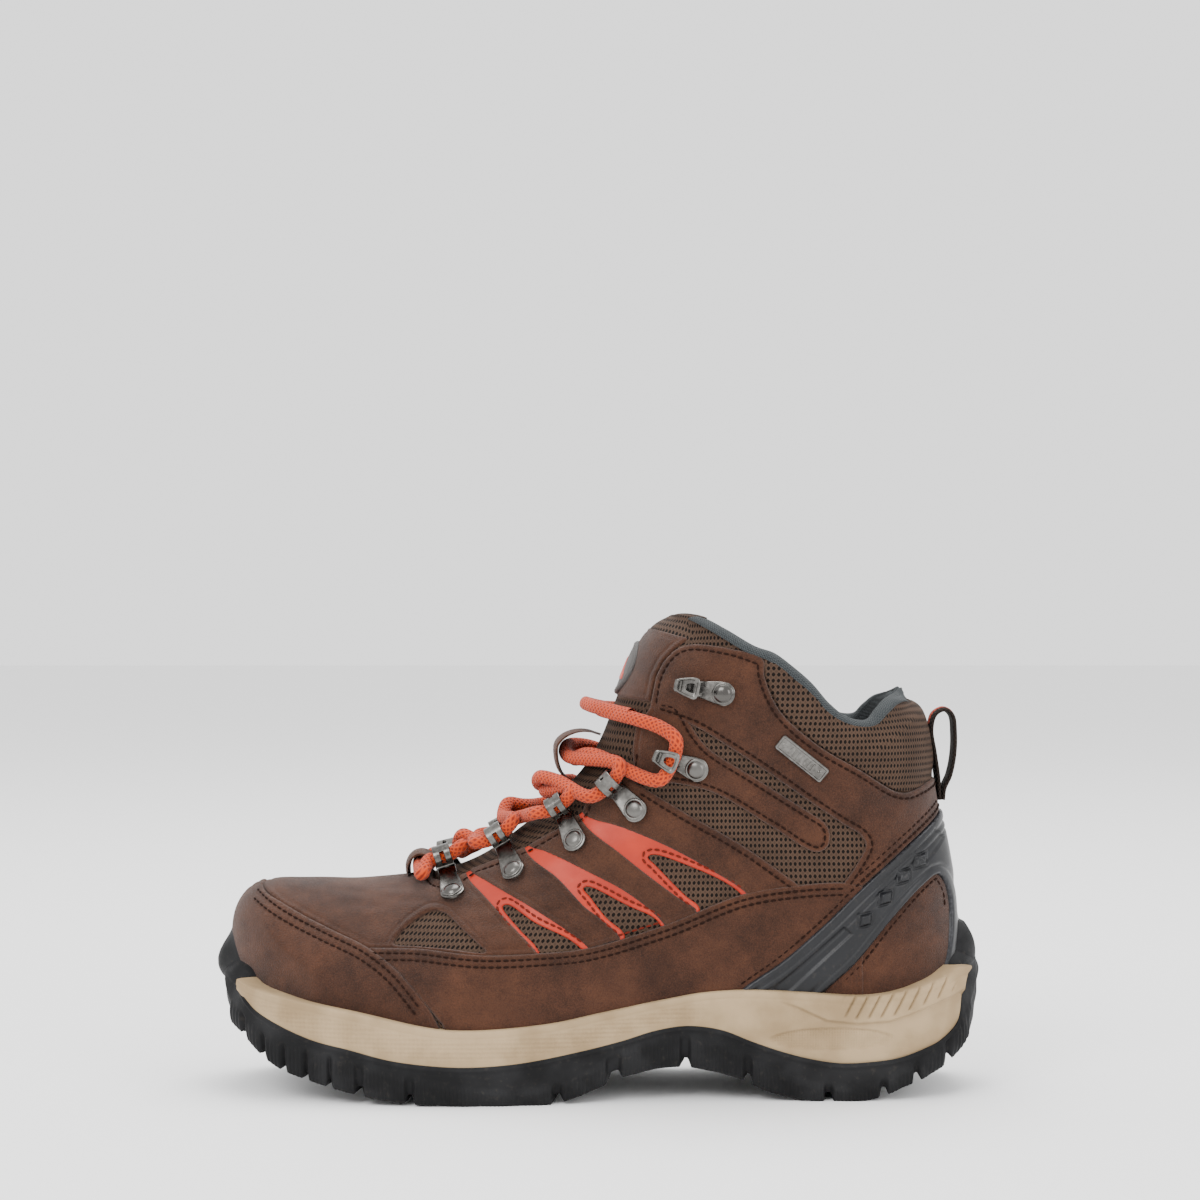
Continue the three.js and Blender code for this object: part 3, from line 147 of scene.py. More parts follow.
MIDDLE_FINGER = (
    (18.3, 149), (14, 143.5), (12.6, 136), (13, 128.5), (15.6, 122), (29, 121.4), (44, 117.8), (66, 105),
    (84, 94.7),
    (88.3, 97), (89, 102.8), (86.8, 106.5), (81, 110.2), (58.5, 124.4), (42, 135), (36.5, 141.6),
    (30, 152), (22, 154),
)
QUARTER_FRONT = (
    (19.4, 151), (21.7, 162.7), (24.7, 168.7), (29, 173.2), (35, 175.4), (51, 173.6), (63, 169.6),
    (63.5, 163),
    (69.4, 149.7), (84.2, 136.3), (100.6, 126.7), (114.7, 118.2), (120, 117.3), (125.2, 118.8),
    (132.5, 121.9),
    (150, 123),
)
QUARTER_LOWER = (
    (94, 82), (100.4, 91.3), (103.3, 97.5), (101.4, 101.2), (94.2, 105.7), (80.8, 114.7), (65.8, 125.2),
    (51, 134.9), (36.3, 143.7), (21.6, 148.6),
)
RINGS = (
    ((-57, 77), (-60.5, 85)), ((-33, 86), (-37.5, 95)), ((-9.3, 98.5), (-14, 108.5)), ((14, 111), (6, 119.5)),
)
HOOKS = (((37.4, 127), (26.5, 131.5)), ((47.7, 156.3), (35, 158.8)))
FAR = 400.0


class Side(Enum):
    """Side of the boot, with the sign of its Y."""

    LATERAL = -1
    MEDIAL = 1

    @property
    def word(self) -> str:
        """Lower-case name used in piece names."""
        return self.name.lower()


# ---------------------------------------------------------------- plane geometry
def smooth_line(points: Outline, count: int, closed: bool = False) -> Array:
    """Centripetal spline through points, at even spacing.

    Args:
        points: Corners of the line.
        count: Number of points returned.
        closed: Whether the line returns to its start.

    Returns:
        Array of count rows of X and Z.
    """
    p = np.asarray(points, float)
    if closed:
        ring = np.vstack([p[-1], p, p[0], p[1]])
    else:
        ring = np.vstack([2 * p[0] - p[1], p, 2 * p[-1] - p[-2]])
    out = []
    for a, b, c, d in zip(ring[:-3], ring[1:-2], ring[2:-1], ring[3:]):
        k1 = max(np.linalg.norm(b - a) ** 0.5, 1e-6)
        k2 = k1 + max(np.linalg.norm(c - b) ** 0.5, 1e-6)
        k3 = k2 + max(np.linalg.norm(d - c) ** 0.5, 1e-6)
        t = np.linspace(k1, k2, 12, endpoint=False)[:, None]
        ab = (k1 - t) / k1 * a + t / k1 * b
        bc = (k2 - t) / (k2 - k1) * b + (t - k1) / (k2 - k1) * c
        cd = (k3 - t) / (k3 - k2) * c + (t - k2) / (k3 - k2) * d
        abc = (k2 - t) / k2 * ab + t / k2 * bc
        bcd = (k3 - t) / (k3 - k1) * bc + (t - k1) / (k3 - k1) * cd
        out.append((k2 - t) / (k2 - k1) * abc + (t - k1) / (k2 - k1) * bcd)
    dense = np.vstack(out + [p[:1] if closed else p[-1:]])
    return even(dense, count)


def even(line: Array, count: int) -> Array:
    """Line resampled to count points at even spacing."""
    steps = np.r_[0, np.cumsum(np.linalg.norm(np.diff(line, axis=0), axis=1))]
    at = np.linspace(0, steps[-1], count)
    return np.stack([np.interp(at, steps, line[:, k]) for k in range(line.shape[1])], 1)


def table_at(table: Sequence[Sequence[float]], at: Array, column: int = 1) -> Array:
    """Linear reading of a column of a table at places along its first column."""
    data = np.asarray(table, float)
    return np.interp(at, data[:, 0], data[:, column])


def ease(t: Array) -> Array:
    """Smooth step from 0 to 1."""
    s = np.clip(t, 0, 1)
    return s * s * (3 - 2 * s)


def line_distance(line: Array, x: Array, z: Array) -> Array:
    """Distance of each place from an open line.

    Args:
        line: Points of the line.
        x: X of the places.
        z: Z of the places.

    Returns:
        Distance of each place, never negative.
    """
    best = np.full(x.shape, np.inf)
    for (ax, az), (bx, bz) in zip(line[:-1], line[1:]):
        dx, dz = bx - ax, bz - az
        share = np.clip(((x - ax) * dx + (z - az) * dz) / (dx * dx + dz * dz + 1e-12), 0, 1)
        np.minimum(best, (x - ax - share * dx) ** 2 + (z - az - share * dz) ** 2, out=best)
    return np.sqrt(best)


def inside_distance(outline: Outline, x: Array, z: Array) -> Array:
    """Signed distance from a closed outline, positive inside.

    Args:
        outline: Corners of the outline.
        x: X of the places.
        z: Z of the places.

    Returns:
        Signed distance of each place.
    """
    p = np.asarray(outline, float)
    q = np.roll(p, -1, axis=0)
    inside = np.zeros(x.shape, bool)
    for (ax, az), (bx, bz) in zip(p, q):
        hit = (az > z) != (bz > z)
        inside ^= hit & (x < (bx - ax) * (z - az) / (bz - az + 1e-12) + ax)
    distance = line_distance(np.vstack([p, p[:1]]), x, z)
    return np.where(inside, distance, -distance)


def offset_line(line: Array, distance: float) -> Array:
    """Open line moved to its left by a distance."""
    tangent = np.gradient(line, axis=0)
    tangent /= np.linalg.norm(tangent, axis=1, keepdims=True) + 1e-12
    return line + distance * np.stack([-tangent[:, 1], tangent[:, 0]], 1)


# ---------------------------------------------------------------- the last
@dataclass
class Last:
    """The shape the upper is pulled over, sampled on a fine grid.

    turn runs from -1 at the heel, round the outer side, to 0 at the front, to 1 at the heel;
    height runs from 0 at the sole to 1 at the collar.
    """

    columns: int = 1024
    rows: int = 320
    edge_roll: float = 45.0
    edge_power: float = 2.25
    foot_edge: float = 2.0
    curve: int = 120
    places: Array = field(init=False)
    normals: Array = field(init=False)
    cloth: Array = field(init=False)

    def __post_init__(self) -> None:
        """Samples the skin, its normals and its cloth lengths."""
        self.front = smooth_line(FRONT_EDGE, self.curve)
        self.back = smooth_line(BACK_EDGE, self.curve)
        self.foot = smooth_line(FEATHER_LINE, self.curve) - (0, self.foot_edge)
        self.top = smooth_line(TOP_LINE, self.curve)
        self.front[0] = self.foot[0]
        self.back[0] = self.foot[-1]
        turn = np.linspace(-1, 1, self.columns, endpoint=False)
        height = np.linspace(0, 1, self.rows)
        t, h = np.meshgrid(turn, height)
        self.places = self.skin(t, h)
        wrapped = np.concatenate([self.places[:, -1:], self.places, self.places[:, :1]], 1)
        across = wrapped[:, 2:] - wrapped[:, :-2]
        up = np.gradient(self.places, axis=0)
        normal = np.cross(up, across)
        self.normals = normal / (np.linalg.norm(normal, axis=2, keepdims=True) + 1e-12)
        step_u = np.linalg.norm(np.diff(wrapped[:, :-1], axis=1), axis=2)
        half = self.columns // 2
        u = np.cumsum(step_u, axis=1)
        u -= u[:, half:half + 1]
        step_v = np.linalg.norm(np.diff(self.places, axis=0, prepend=self.places[:1]), axis=2)
        self.cloth = np.stack([u, np.cumsum(step_v, axis=0)], 2)
        self.fabric = self.fabric_places()

    def fabric_places(self) -> Array:
        """Places on the uncut cloth: straight along the boot, and round the toe and the heel.

        Returns:
            Place on the cloth of every point of the grid.
        """
        x, z = self.places[..., 0], self.places[..., 2]
        half = np.abs(self.places[..., 1] - self.middle(x))
        side = np.where(np.arange(self.columns) < self.columns // 2, -1, 1)[None, :]
        turn_back = 1 - 2 * ease((x - 20) / 60)
        return np.stack([side * (x + turn_back * (half - 38)), z], 2)

    @staticmethod
    def middle(x: Array) -> Array:
        """Y of the middle of the foot along the boot."""
        return 8 * ease((-x - 10) / 140)

    def side_place(self, turn: Array, height: Array) -> tuple[Array, Array]:
        """Side-view place of a turn (0 front, 1 back) and height share.

        Args:
            turn: Share of the way from front to back.
            height: Share of the height.

        Returns:
            X and Z of the place.
        """
        a = (1 - np.cos(np.pi * turn)) / 2
        grid = np.linspace(0, 1, self.curve)
        out = []
        for k in range(2):
            front = np.interp(height, grid, self.front[:, k])
            back = np.interp(height, grid, self.back[:, k])
            foot = np.interp(a, grid, self.foot[:, k])
            top = np.interp(a, grid, self.top[:, k])
            corners = (
                (1 - a) * (1 - height) * self.foot[0, k] + a * (1 - height) * self.foot[-1, k]
                + (1 - a) * height * self.top[0, k] + a * height * self.top[-1, k]
            )
            out.append((1 - a) * front + a * back + (1 - height) * foot + height * top - corners)
        return out[0], out[1]

    def roll(self, distance: Array) -> Array:
        """Share of the full half width at a distance from an edge seen from the side."""
        share = np.minimum(distance / self.edge_roll, 1)
        return (1 - (1 - share) ** self.edge_power) ** (1 / self.edge_power)

    def skin(self, turn: Array, height: Array) -> Array:
        """Places on the bare skin, before sampling.

        Args:
            turn: Turn round the boot, -1 to 1.
            height: Share of the height.

        Returns:
            Points on the skin.
        """
        x, z = self.side_place(np.abs(turn), height)
        low = np.where(turn < 0, table_at(OUTER_HALF, x), table_at(INNER_HALF, x))
        share = ease((z - 30) / 85)
        width = low * (1 - share) + table_at(SHAFT_HALF, z) * share
        width = width * self.roll(line_distance(self.front, x, z)) * self.roll(line_distance(self.back, x, z))
        return np.stack([x, self.middle(x) + np.where(turn < 0, -1, 1) * width, z], -1)

    def read(self, data: Array, turn: Array, height: Array) -> Array:
        """Value of a sampled field at any turn and height.

        Args:
            data: Field sampled on the grid.
            turn: Turn round the boot.
            height: Share of the height.

        Returns:
            Value of the field at each place.
        """
        u = (np.mod(turn + 1, 2) / 2) * self.columns
        v = np.clip(height, 0, 1) * (self.rows - 1)
        i, j = np.floor(u).astype(int), np.minimum(np.floor(v).astype(int), self.rows - 2)
        fu, fv = (u - i)[..., None], (v - j)[..., None]
        i0, i1 = i % self.columns, (i + 1) % self.columns
        low = data[j, i0] * (1 - fu) + data[j, i1] * fu
        high = data[j + 1, i0] * (1 - fu) + data[j + 1, i1] * fu
        return low * (1 - fv) + high * fv

    def point(self, turn: Array, height: Array, lift: Array) -> Array:
        """Places at a height over the skin."""
        turn, height = np.asarray(turn, float), np.asarray(height, float)
        over = np.asarray(lift, float)[..., None]
        return self.read(self.places, turn, height) + over * self.read(self.normals, turn, height)

    def locate(self, x: Array, z: Array, side: int) -> tuple[Array, Array]:
        """Turn and height of the skin under side-view places.

        Args:
            x: X of the places.
            z: Z of the places.
            side: Sign of the side.

        Returns:
            Turn and height of each place.
        """
        x, z = np.asarray(x, float), np.asarray(z, float)
        turn, height = np.full(x.shape, 0.35), np.full(x.shape, 0.5)
        step = 1e-4
        for _ in range(60):
            hx, hz = self.side_place(turn, height)
            tx, tz = self.side_place(turn + step, height)
            gx, gz = self.side_place(turn, height + step)
            a, c, b, d = (tx - hx) / step, (tz - hz) / step, (gx - hx) / step, (gz - hz) / step
            det = a * d - b * c
            ex, ez = x - hx, z - hz
            turn = np.clip(turn + 0.6 * (d * ex - b * ez) / det, 0.004, 0.996)
            height = np.clip(height + 0.6 * (a * ez - c * ex) / det, 0.002, 0.998)
        return side * turn, height


LAST = Last()


# ---------------------------------------------------------------- materials
class Tree:
    """Short way to write a shader node tree."""

    def __init__(self, tree: bpy.types.NodeTree) -> None:
        """Keeps the tree that nodes are added to."""
        self.tree = tree

    def add(self, kind: str, values: Optional[dict] = None, **settings) -> bpy.types.Node:
        """Adds a node.

        Args:
            kind: Type name of the node.
            values: Sockets to link, or constants to set, by input name or number.
            settings: Properties of the node.

        Returns:
            The node.
        """
        node = self.tree.nodes.new(kind)
        for key, value in settings.items():
            setattr(node, key, value)
        for key, value in (values or {}).items():
            if isinstance(value, bpy.types.NodeSocket):
                self.tree.links.new(value, node.inputs[key])
            else:
                node.inputs[key].default_value = value
        return node

    def math(self, operation: str, a, b=0.0, clamp: bool = False) -> bpy.types.NodeSocket:
        """Result of a math node on sockets or numbers."""
        return self.add("ShaderNodeMath", {0: a, 1: b}, operation=operation, use_clamp=clamp).outputs[0]

    def mix(self, share, a, b) -> bpy.types.NodeSocket:
        """Colour between two colours."""
        return self.add("ShaderNodeMix", {0: share, 6: a, 7: b}, data_type="RGBA").outputs[2]

    def ramp(self, value, low: float, high: float, to_low: float = 0.0, to_high: float = 1.0):
        """Value carried smoothly from one range to another."""
        values = {0: value, 1: low, 2: high, 3: to_low, 4: to_high}
        return self.add("ShaderNodeMapRange", values, interpolation_type="SMOOTHSTEP").outputs[0]

    def noise(self, vector, scale: float, detail: float = 2.0) -> bpy.types.NodeSocket:
        """Noise value at a scale per metre."""
        return self.add("ShaderNodeTexNoise", {"Vector": vector, "Scale": scale, "Detail": detail}).outputs[0]

    def wave(self, value, pitch: float) -> bpy.types.NodeSocket:
        """Cosine of a length along a pitch in metres."""
        return self.math("COSINE", self.math("MULTIPLY", value, 2 * math.pi / pitch))


class Effect(Enum):
    """Shader effects that materials share."""

    NAP = "nap"
    SPACER = "spacer_mesh"
    KNIT = "knit"
    BRAID = "braid"
    TWILL = "twill"
    MOULD = "moulded_skin"
    WEAR = "edge_wear"


Sockets = dict[str, str]
COLOUR, VALUE, VECTOR = "NodeSocketColor", "NodeSocketFloat", "NodeSocketVector"


def start_group(effect: Effect, inputs: Sockets, outputs: Sockets) -> tuple[Tree, dict, bpy.types.Node]:
    """Opens a node group.

    Args:
        effect: The effect it holds.
        inputs: Socket types by input name.
        outputs: Socket types by output name.

    Returns:
        The tree, its input sockets by name and its output node.
    """
    group = bpy.data.node_groups.new(effect.value, "ShaderNodeTree")
    for name, kind in inputs.items():
        group.interface.new_socket(name=name, in_out="INPUT", socket_type=kind)
    for name, kind in outputs.items():
        group.interface.new_socket(name=name, in_out="OUTPUT", socket_type=kind)
    tree = Tree(group)
    entry = tree.add("NodeGroupInput")
    return tree, {s.name: s for s in entry.outputs if s.name}, tree.add("NodeGroupOutput")


def join(tree: Tree, output: bpy.types.Node, **sockets) -> None:
    """Links sockets to the outputs of a group."""
    for name, socket in sockets.items():
        tree.tree.links.new(socket, output.inputs[name])


def make_effects() -> None:
    """Makes every shared effect."""
    t, i, out = start_group(Effect.NAP, {"Vector": VECTOR}, {"Shade": VALUE, "Height": VALUE})
    brushed = t.noise(i["Vector"], 38, 3)
    cloud = t.noise(i["Vector"], 210, 4)
    fibre = t.noise(i["Vector"], 1700, 3)
    fine = t.noise(i["Vector"], 4200, 2)
    shade = t.math("ADD", t.math("MULTIPLY", brushed, 0.62), t.math("MULTIPLY", cloud, 0.3))
    shade = t.math("ADD", shade, t.math("MULTIPLY", fibre, 0.5))
    shade = t.math("ADD", shade, t.math("MULTIPLY", fine, 0.45))
    height = t.math("ADD", t.math("MULTIPLY", fibre, 0.8), t.math("MULTIPLY", fine, 0.6))
    join(t, out, Shade=t.ramp(shade, 0.62, 1.28), Height=height)

    t, i, out = start_group(
        Effect.SPACER, {"Vector": VECTOR, "Pitch": VALUE}, {"Hole": VALUE, "Height": VALUE}
    )
    split = t.add("ShaderNodeSeparateXYZ", {0: i["Vector"]}).outputs
    rate = t.math("DIVIDE", 2 * math.pi, i["Pitch"])
    jitter = t.math("MULTIPLY", t.noise(i["Vector"], 700, 1), 0.5)
    x = t.math("COSINE", t.math("ADD", t.math("MULTIPLY", split[0], rate), jitter))
    y = t.math("COSINE", t.math("ADD", t.math("MULTIPLY", split[1], t.math("MULTIPLY", rate, 0.8)), jitter))
    cell = t.math("SUBTRACT", y, x)
    hole = t.ramp(cell, 0.25, 0.95)
    other = t.ramp(cell, -0.6, -1.3)
    strand = t.noise(i["Vector"], 4200, 2)
    height = t.math("SUBTRACT", t.math("MULTIPLY", strand, 0.3), hole)
    join(t, out, Hole=t.math("MAXIMUM", hole, t.math("MULTIPLY", other, 0.3)), Height=height)

    t, i, out = start_group(Effect.KNIT, {"Vector": VECTOR}, {"Shade": VALUE, "Height": VALUE})
    split = t.add("ShaderNodeSeparateXYZ", {0: i["Vector"]}).outputs
    bend = t.math("MULTIPLY", t.math("ABSOLUTE", t.wave(split[0], 0.0022)), 0.0007)
    rib = t.wave(t.math("ADD", split[1], bend), 0.0011)
    melange = t.noise(i["Vector"], 1500, 3)
    height = t.math("ADD", t.math("MULTIPLY", rib, 0.35), melange)
    join(t, out, Shade=t.ramp(height, 0.1, 0.95), Height=height)

    t, i, out = start_group(Effect.BRAID, {"Vector": VECTOR}, {"Shade": VALUE, "Height": VALUE})
    split = t.add("ShaderNodeSeparateXYZ", {0: i["Vector"]}).outputs
    along = t.math("MULTIPLY", split[0], 2 * math.pi / 0.0022)
    around = t.math("MULTIPLY", split[1], 2 * math.pi * 8)
    right = t.math("SINE", t.math("ADD", along, around))
    left = t.math("SINE", t.math("SUBTRACT", along, around))
    yarn = t.math("MULTIPLY", t.math("SINE", t.math("MULTIPLY", split[1], 2 * math.pi * 40)), 0.12)
    height = t.math("ADD", t.math("MAXIMUM", right, left), yarn)
    join(t, out, Shade=t.ramp(height, -0.75, 0.75), Height=height)

    t, i, out = start_group(Effect.TWILL, {"Vector": VECTOR, "Pitch": VALUE},
        {"Shade": VALUE, "Height": VALUE})
    split = t.add("ShaderNodeSeparateXYZ", {0: i["Vector"]}).outputs
    rate = t.math("DIVIDE", 2 * math.pi, i["Pitch"])
    warp = t.math("COSINE", t.math("MULTIPLY", split[0], rate))
    weft = t.math("COSINE", t.math("MULTIPLY", split[1], rate))
    height = t.math("MULTIPLY", warp, weft)
    join(t, out, Shade=t.ramp(height, -0.7, 0.8), Height=height)

    t, i, out = start_group(
        Effect.MOULD, {"Vector": VECTOR, "Grain": VALUE}, {"Shade": VALUE, "Height": VALUE, "Dust": VALUE}
    )
    broad = t.noise(i["Vector"], 60, 3)
    grain = t.add(
        "ShaderNodeTexNoise", {"Vector": i["Vector"], "Scale": i["Grain"], "Detail": 3.0}
    ).outputs[0]
    speck = t.ramp(t.noise(i["Vector"], 500, 5), 0.56, 0.74)
    join(t, out, Shade=t.ramp(broad, 0.3, 0.7), Height=grain, Dust=t.math("MULTIPLY", speck, broad))

    # Edge wear and painted shade: Mask blends in the wear colour near a panel's top edge; Seam is painted
    # shade that darkens each cut edge where it steps down to the layer beneath.
    t, i, out = start_group(Effect.WEAR, {"Vector": VECTOR}, {"Mask": VALUE, "Seam": VALUE})
    edge = t.add("ShaderNodeAttribute", attribute_name="edge").outputs["Fac"]
    broken = t.noise(i["Vector"], 700, 3)
    near = t.ramp(edge, 0.9, 0.0)
    # Seam: painted shade down the cut edge, full from 0.6 mm below its top.
    join(t, out, Mask=t.math("MULTIPLY", near, t.ramp(broken, 0.35, 0.7)), Seam=t.ramp(edge, 0.0, -0.6))


@dataclass(frozen=True)
class Finish:
    """Look of one material.

    Colours are linear; sizes are metres.
    """

    name: str
    dark: tuple[float, float, float]
    light: tuple[float, float, float]
    effect: Effect
    roughness: tuple[float, float] = (0.9, 0.8)
    bump: float = 0.0002
    pitch: float = 0.0016
    metallic: float = 0.0
    sheen: float = 0.0
    wear: tuple[float, float, float] = (0.0, 0.0, 0.0)
    wear_share: float = 0.0
    specular: float = 0.5
    slot: str = ""


SUEDE = Finish(
    "suede", (0.0145, 0.0045, 0.0018), (0.074, 0.0265, 0.0118), Effect.NAP, (0.97, 0.9), 0.0004,
    sheen=0.12, wear=(0.10, 0.042, 0.022), wear_share=0.45, slot="suede", specular=0.12
)
MESH_CLOTH = Finish(
    "mesh_cloth", (0.0045, 0.0028, 0.002), (0.062, 0.036, 0.0235), Effect.SPACER, (0.85, 0.75), 0.0005,
    pitch=0.0019, slot="mesh_cloth", specular=0.15
)
LINING = Finish("lining_cloth", (0.014, 0.017, 0.0185), (0.060, 0.068, 0.071), Effect.KNIT, (0.97, 0.9),
    0.0004,
                sheen=0.08, slot="lining_cloth", specular=0.12)
FOOTBED = Finish("footbed_cloth", (0.015, 0.017, 0.018), (0.045, 0.048, 0.05), Effect.TWILL, (0.95, 0.9),
    0.0002,
                 pitch=0.0014, slot="footbed_cloth", specular=0.12)
INSERT = Finish(
    "insert_film", (0.30, 0.0155, 0.004), (0.385, 0.025, 0.0072), Effect.MOULD, (0.5, 0.42), 0.00004,
    pitch=1400, wear=(0.22, 0.02, 0.012), wear_share=0.5, slot="insert_film", specular=0.3
)
CAGE = Finish("cage_rubber", (0.0022, 0.0024, 0.0034), (0.0052, 0.0055, 0.0074), Effect.MOULD,
    (0.46, 0.34), 0.00003,
              pitch=2600, wear=(0.045, 0.046, 0.055), wear_share=0.5, slot="cage_rubber", specular=0.32)
PATCH = Finish("patch_rubber", (0.04, 0.036, 0.034), (0.075, 0.068, 0.064), Effect.TWILL, (0.7, 0.6), 0.0001,
               pitch=0.0012, slot="patch_rubber")
MARK = Finish("patch_mark", (0.40, 0.03, 0.012), (0.52, 0.055, 0.02), Effect.MOULD, (0.5, 0.45), 0.00003,
    pitch=1500)
NICKEL = Finish("nickel", (0.075, 0.071, 0.066), (0.125, 0.12, 0.112), Effect.MOULD, (0.2, 0.32), 0.00001,
                pitch=3000, metallic=1.0, wear=(0.42, 0.4, 0.37), wear_share=0.16, slot="nickel")
LACE_CORD = Finish("lace_cord", (0.19, 0.0115, 0.0003), (0.49, 0.046, 0.0016), Effect.BRAID, (0.85, 0.72),
    0.00022,
                   sheen=0.1, slot="lace_cord", specular=0.2)
WEBBING = Finish("webbing", (0.006, 0.004, 0.0034), (0.028, 0.019, 0.015), Effect.TWILL, (0.9, 0.8), 0.0003,
                 pitch=0.0017, slot="webbing", specular=0.15)
STRIPE = Finish("webbing_stripe", (0.26, 0.022, 0.006), (0.46, 0.05, 0.014), Effect.TWILL, (0.85, 0.8),
    0.0003,
                pitch=0.0015)
FOAM = Finish("midsole_foam", (0.25, 0.172, 0.09), (0.36, 0.258, 0.145), Effect.MOULD, (0.72, 0.62), 0.00008,
              pitch=2200, wear=(0.2, 0.14, 0.08), wear_share=0.3, slot="midsole_foam", specular=0.3)
RUBBER = Finish("outsole_rubber", (0.0028, 0.0028, 0.0032), (0.0072, 0.0072, 0.008), Effect.MOULD,
    (0.8, 0.62),
                0.00008, pitch=2600, wear=(0.035, 0.035, 0.035), wear_share=0.35, slot="outsole_rubber",
                specular=0.22)
THREAD = Finish("thread", (0.008, 0.0032, 0.002), (0.022, 0.0085, 0.005), Effect.TWILL, (0.85, 0.75), 0.00005,
                pitch=0.0005, specular=0.1)
RED_THREAD = Finish("thread_red", (0.075, 0.009, 0.005), (0.15, 0.018, 0.009), Effect.TWILL, (0.85, 0.75),
    0.00005,
                    pitch=0.0005, specular=0.1)
STEEL = Finish("steel", (0.35, 0.35, 0.35), (0.55, 0.55, 0.55), Effect.MOULD, (0.3, 0.45), 0.00002,
    pitch=3000,
               metallic=1.0, slot="steel")
BOARD = Finish("board", (0.33, 0.25, 0.16), (0.5, 0.41, 0.29), Effect.MOULD, (0.95, 0.85), 0.0001, pitch=900,
               slot="board")


class Paints:
    """Materials, made once each."""

    def __init__(self) -> None:
        """Makes the shared effects."""
        make_effects()
        self.made: dict[str, bpy.types.Material] = {}

    def get(self, finish: Finish) -> bpy.types.Material:
        """Material of a finish."""
        if finish.name not in self.made:
            self.made[finish.name] = self.make(finish)
        return self.made[finish.name]

    def make(self, finish: Finish) -> bpy.types.Material:
        """Builds one material.

        Args:
            finish: Its look.

        Returns:
            The material.
        """
        material = bpy.data.materials.new(finish.name)
        material.use_nodes = True
        t = Tree(material.node_tree)
        surface = material.node_tree.nodes["Principled BSDF"]
        place = t.add("ShaderNodeTexCoord").outputs
        on_cloth = finish.effect in (Effect.SPACER, Effect.KNIT, Effect.BRAID, Effect.TWILL)
        vector = place["UV"] if on_cloth else place["Object"]
        effect = t.add("ShaderNodeGroup", node_tree=bpy.data.node_groups[finish.effect.value])
        t.tree.links.new(vector, effect.inputs["Vector"])
        for name in ("Pitch", "Grain"):
            if name in effect.inputs:
                effect.inputs[name].default_value = finish.pitch
        shade = effect.outputs.get("Shade")
        if finish.effect is Effect.SPACER:
            shade = t.math("SUBTRACT", 1.0, effect.outputs["Hole"], clamp=True)
        broad = t.noise(place["Object"], 90, 3)
        patchy = 0.96 if finish.metallic else 0.8
        shade = t.math("MULTIPLY", shade, t.ramp(broad, 0.25, 0.75, patchy, 1.1), clamp=True)
        colour = t.mix(shade, (*finish.dark, 1), (*finish.light, 1))
        wear = t.add("ShaderNodeGroup", node_tree=bpy.data.node_groups[Effect.WEAR.value])
        t.tree.links.new(place["Object"], wear.inputs["Vector"])
        if finish.wear_share:
            worn = t.math("MULTIPLY", wear.outputs["Mask"], finish.wear_share)
            colour = t.mix(worn, colour, (*finish.wear, 1))
        if finish.effect is Effect.MOULD and not finish.metallic:
            dusty = t.math("MULTIPLY", effect.outputs["Dust"], 0.05)
            colour = t.mix(dusty, colour, (0.33, 0.27, 0.2, 1))
        # Painted shade: the cut edge below its top is darkened towards a third of the finish's dark colour.
        cut_edge_shade = t.math("MULTIPLY", wear.outputs["Seam"], 0.65)
        colour = t.mix(cut_edge_shade, colour, (*(0.35 * c for c in finish.dark), 1))
        rough = t.ramp(shade, 0, 1, *finish.roughness)
        bump = t.add("ShaderNodeBump", {"Height": effect.outputs["Height"], "Distance": finish.bump,
            "Strength": 1.0})
        t.tree.links.new(colour, surface.inputs["Base Color"])
        t.tree.links.new(rough, surface.inputs["Roughness"])
        t.tree.links.new(bump.outputs[0], surface.inputs["Normal"])
        surface.inputs["Metallic"].default_value = finish.metallic
        surface.inputs["Sheen Weight"].default_value = finish.sheen
        surface.inputs["Sheen Roughness"].default_value = 0.6
        surface.inputs["Specular IOR Level"].default_value = finish.specular
        return material


PAINTS = Paints()


# ---------------------------------------------------------------- mesh makers
def make_object(
    name: str,
    points: Array,
    faces: Array,
    finish: Finish,
    uv: Optional[Array] = None,
    values: Optional[dict[str, Array]] = None,
    sharp: Optional[float] = None,
) -> bpy.types.Object:
    """Mesh object from arrays.

    Args:
        name: Name of the piece.
        points: Corners in millimetres.
        faces: Corner numbers, four to a face.
        finish: Its look.
        uv: Cloth place in millimetres by corner point, or by face corner.
        values: Extra values by point, by name.
        sharp: Angle in degrees over which an edge stays hard.

    Returns:
        The object, linked to the scene.
    """
    mesh = bpy.data.meshes.new(name)
    corners = np.asarray(faces, np.int32).ravel()
    mesh.vertices.add(len(points))
    mesh.vertices.foreach_set("co", (np.asarray(points) * MM).astype(np.float32).ravel())
    mesh.loops.add(len(corners))
    mesh.loops.foreach_set("vertex_index", corners)
    mesh.polygons.add(len(faces))
    mesh.polygons.foreach_set("loop_start", np.arange(len(faces), dtype=np.int32) * faces.shape[1])
    if uv is not None:
        by_corner = uv if len(uv) == len(corners) and uv.ndim == 2 and len(uv) != len(points) else uv[corners]
        layer = mesh.uv_layers.new(name="cloth")
        layer.data.foreach_set("uv", (by_corner * MM).astype(np.float32).ravel())
    for key, value in (values or {}).items():
        attribute = mesh.attributes.new(key, "FLOAT", "POINT")
        attribute.data.foreach_set("value", np.asarray(value, np.float32))
    mesh.update(calc_edges=True)
    mesh.validate()
    mesh.shade_smooth()
    if sharp is not None:
        mesh.set_sharp_from_angle(angle=math.radians(sharp))
    mesh.materials.append(PAINTS.get(finish))
    obj = bpy.data.objects.new(name, mesh)
    bpy.context.scene.collection.objects.link(obj)
    return obj


def settle(obj: bpy.types.Object, finish: Finish, *nodes: str, body: str = "boot") -> bpy.types.Object:
    """Puts a piece on its body.

    Args:
        obj: The piece.
        finish: Its look; not used.
        nodes: CAD nodes it stands for.
        body: The body it rides on.

    Returns:
        The piece.
    """
    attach(obj, body)
    if nodes:
        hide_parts(*nodes)
    LOG.info("%s: %d faces", obj.name, len(obj.data.polygons))
    return obj


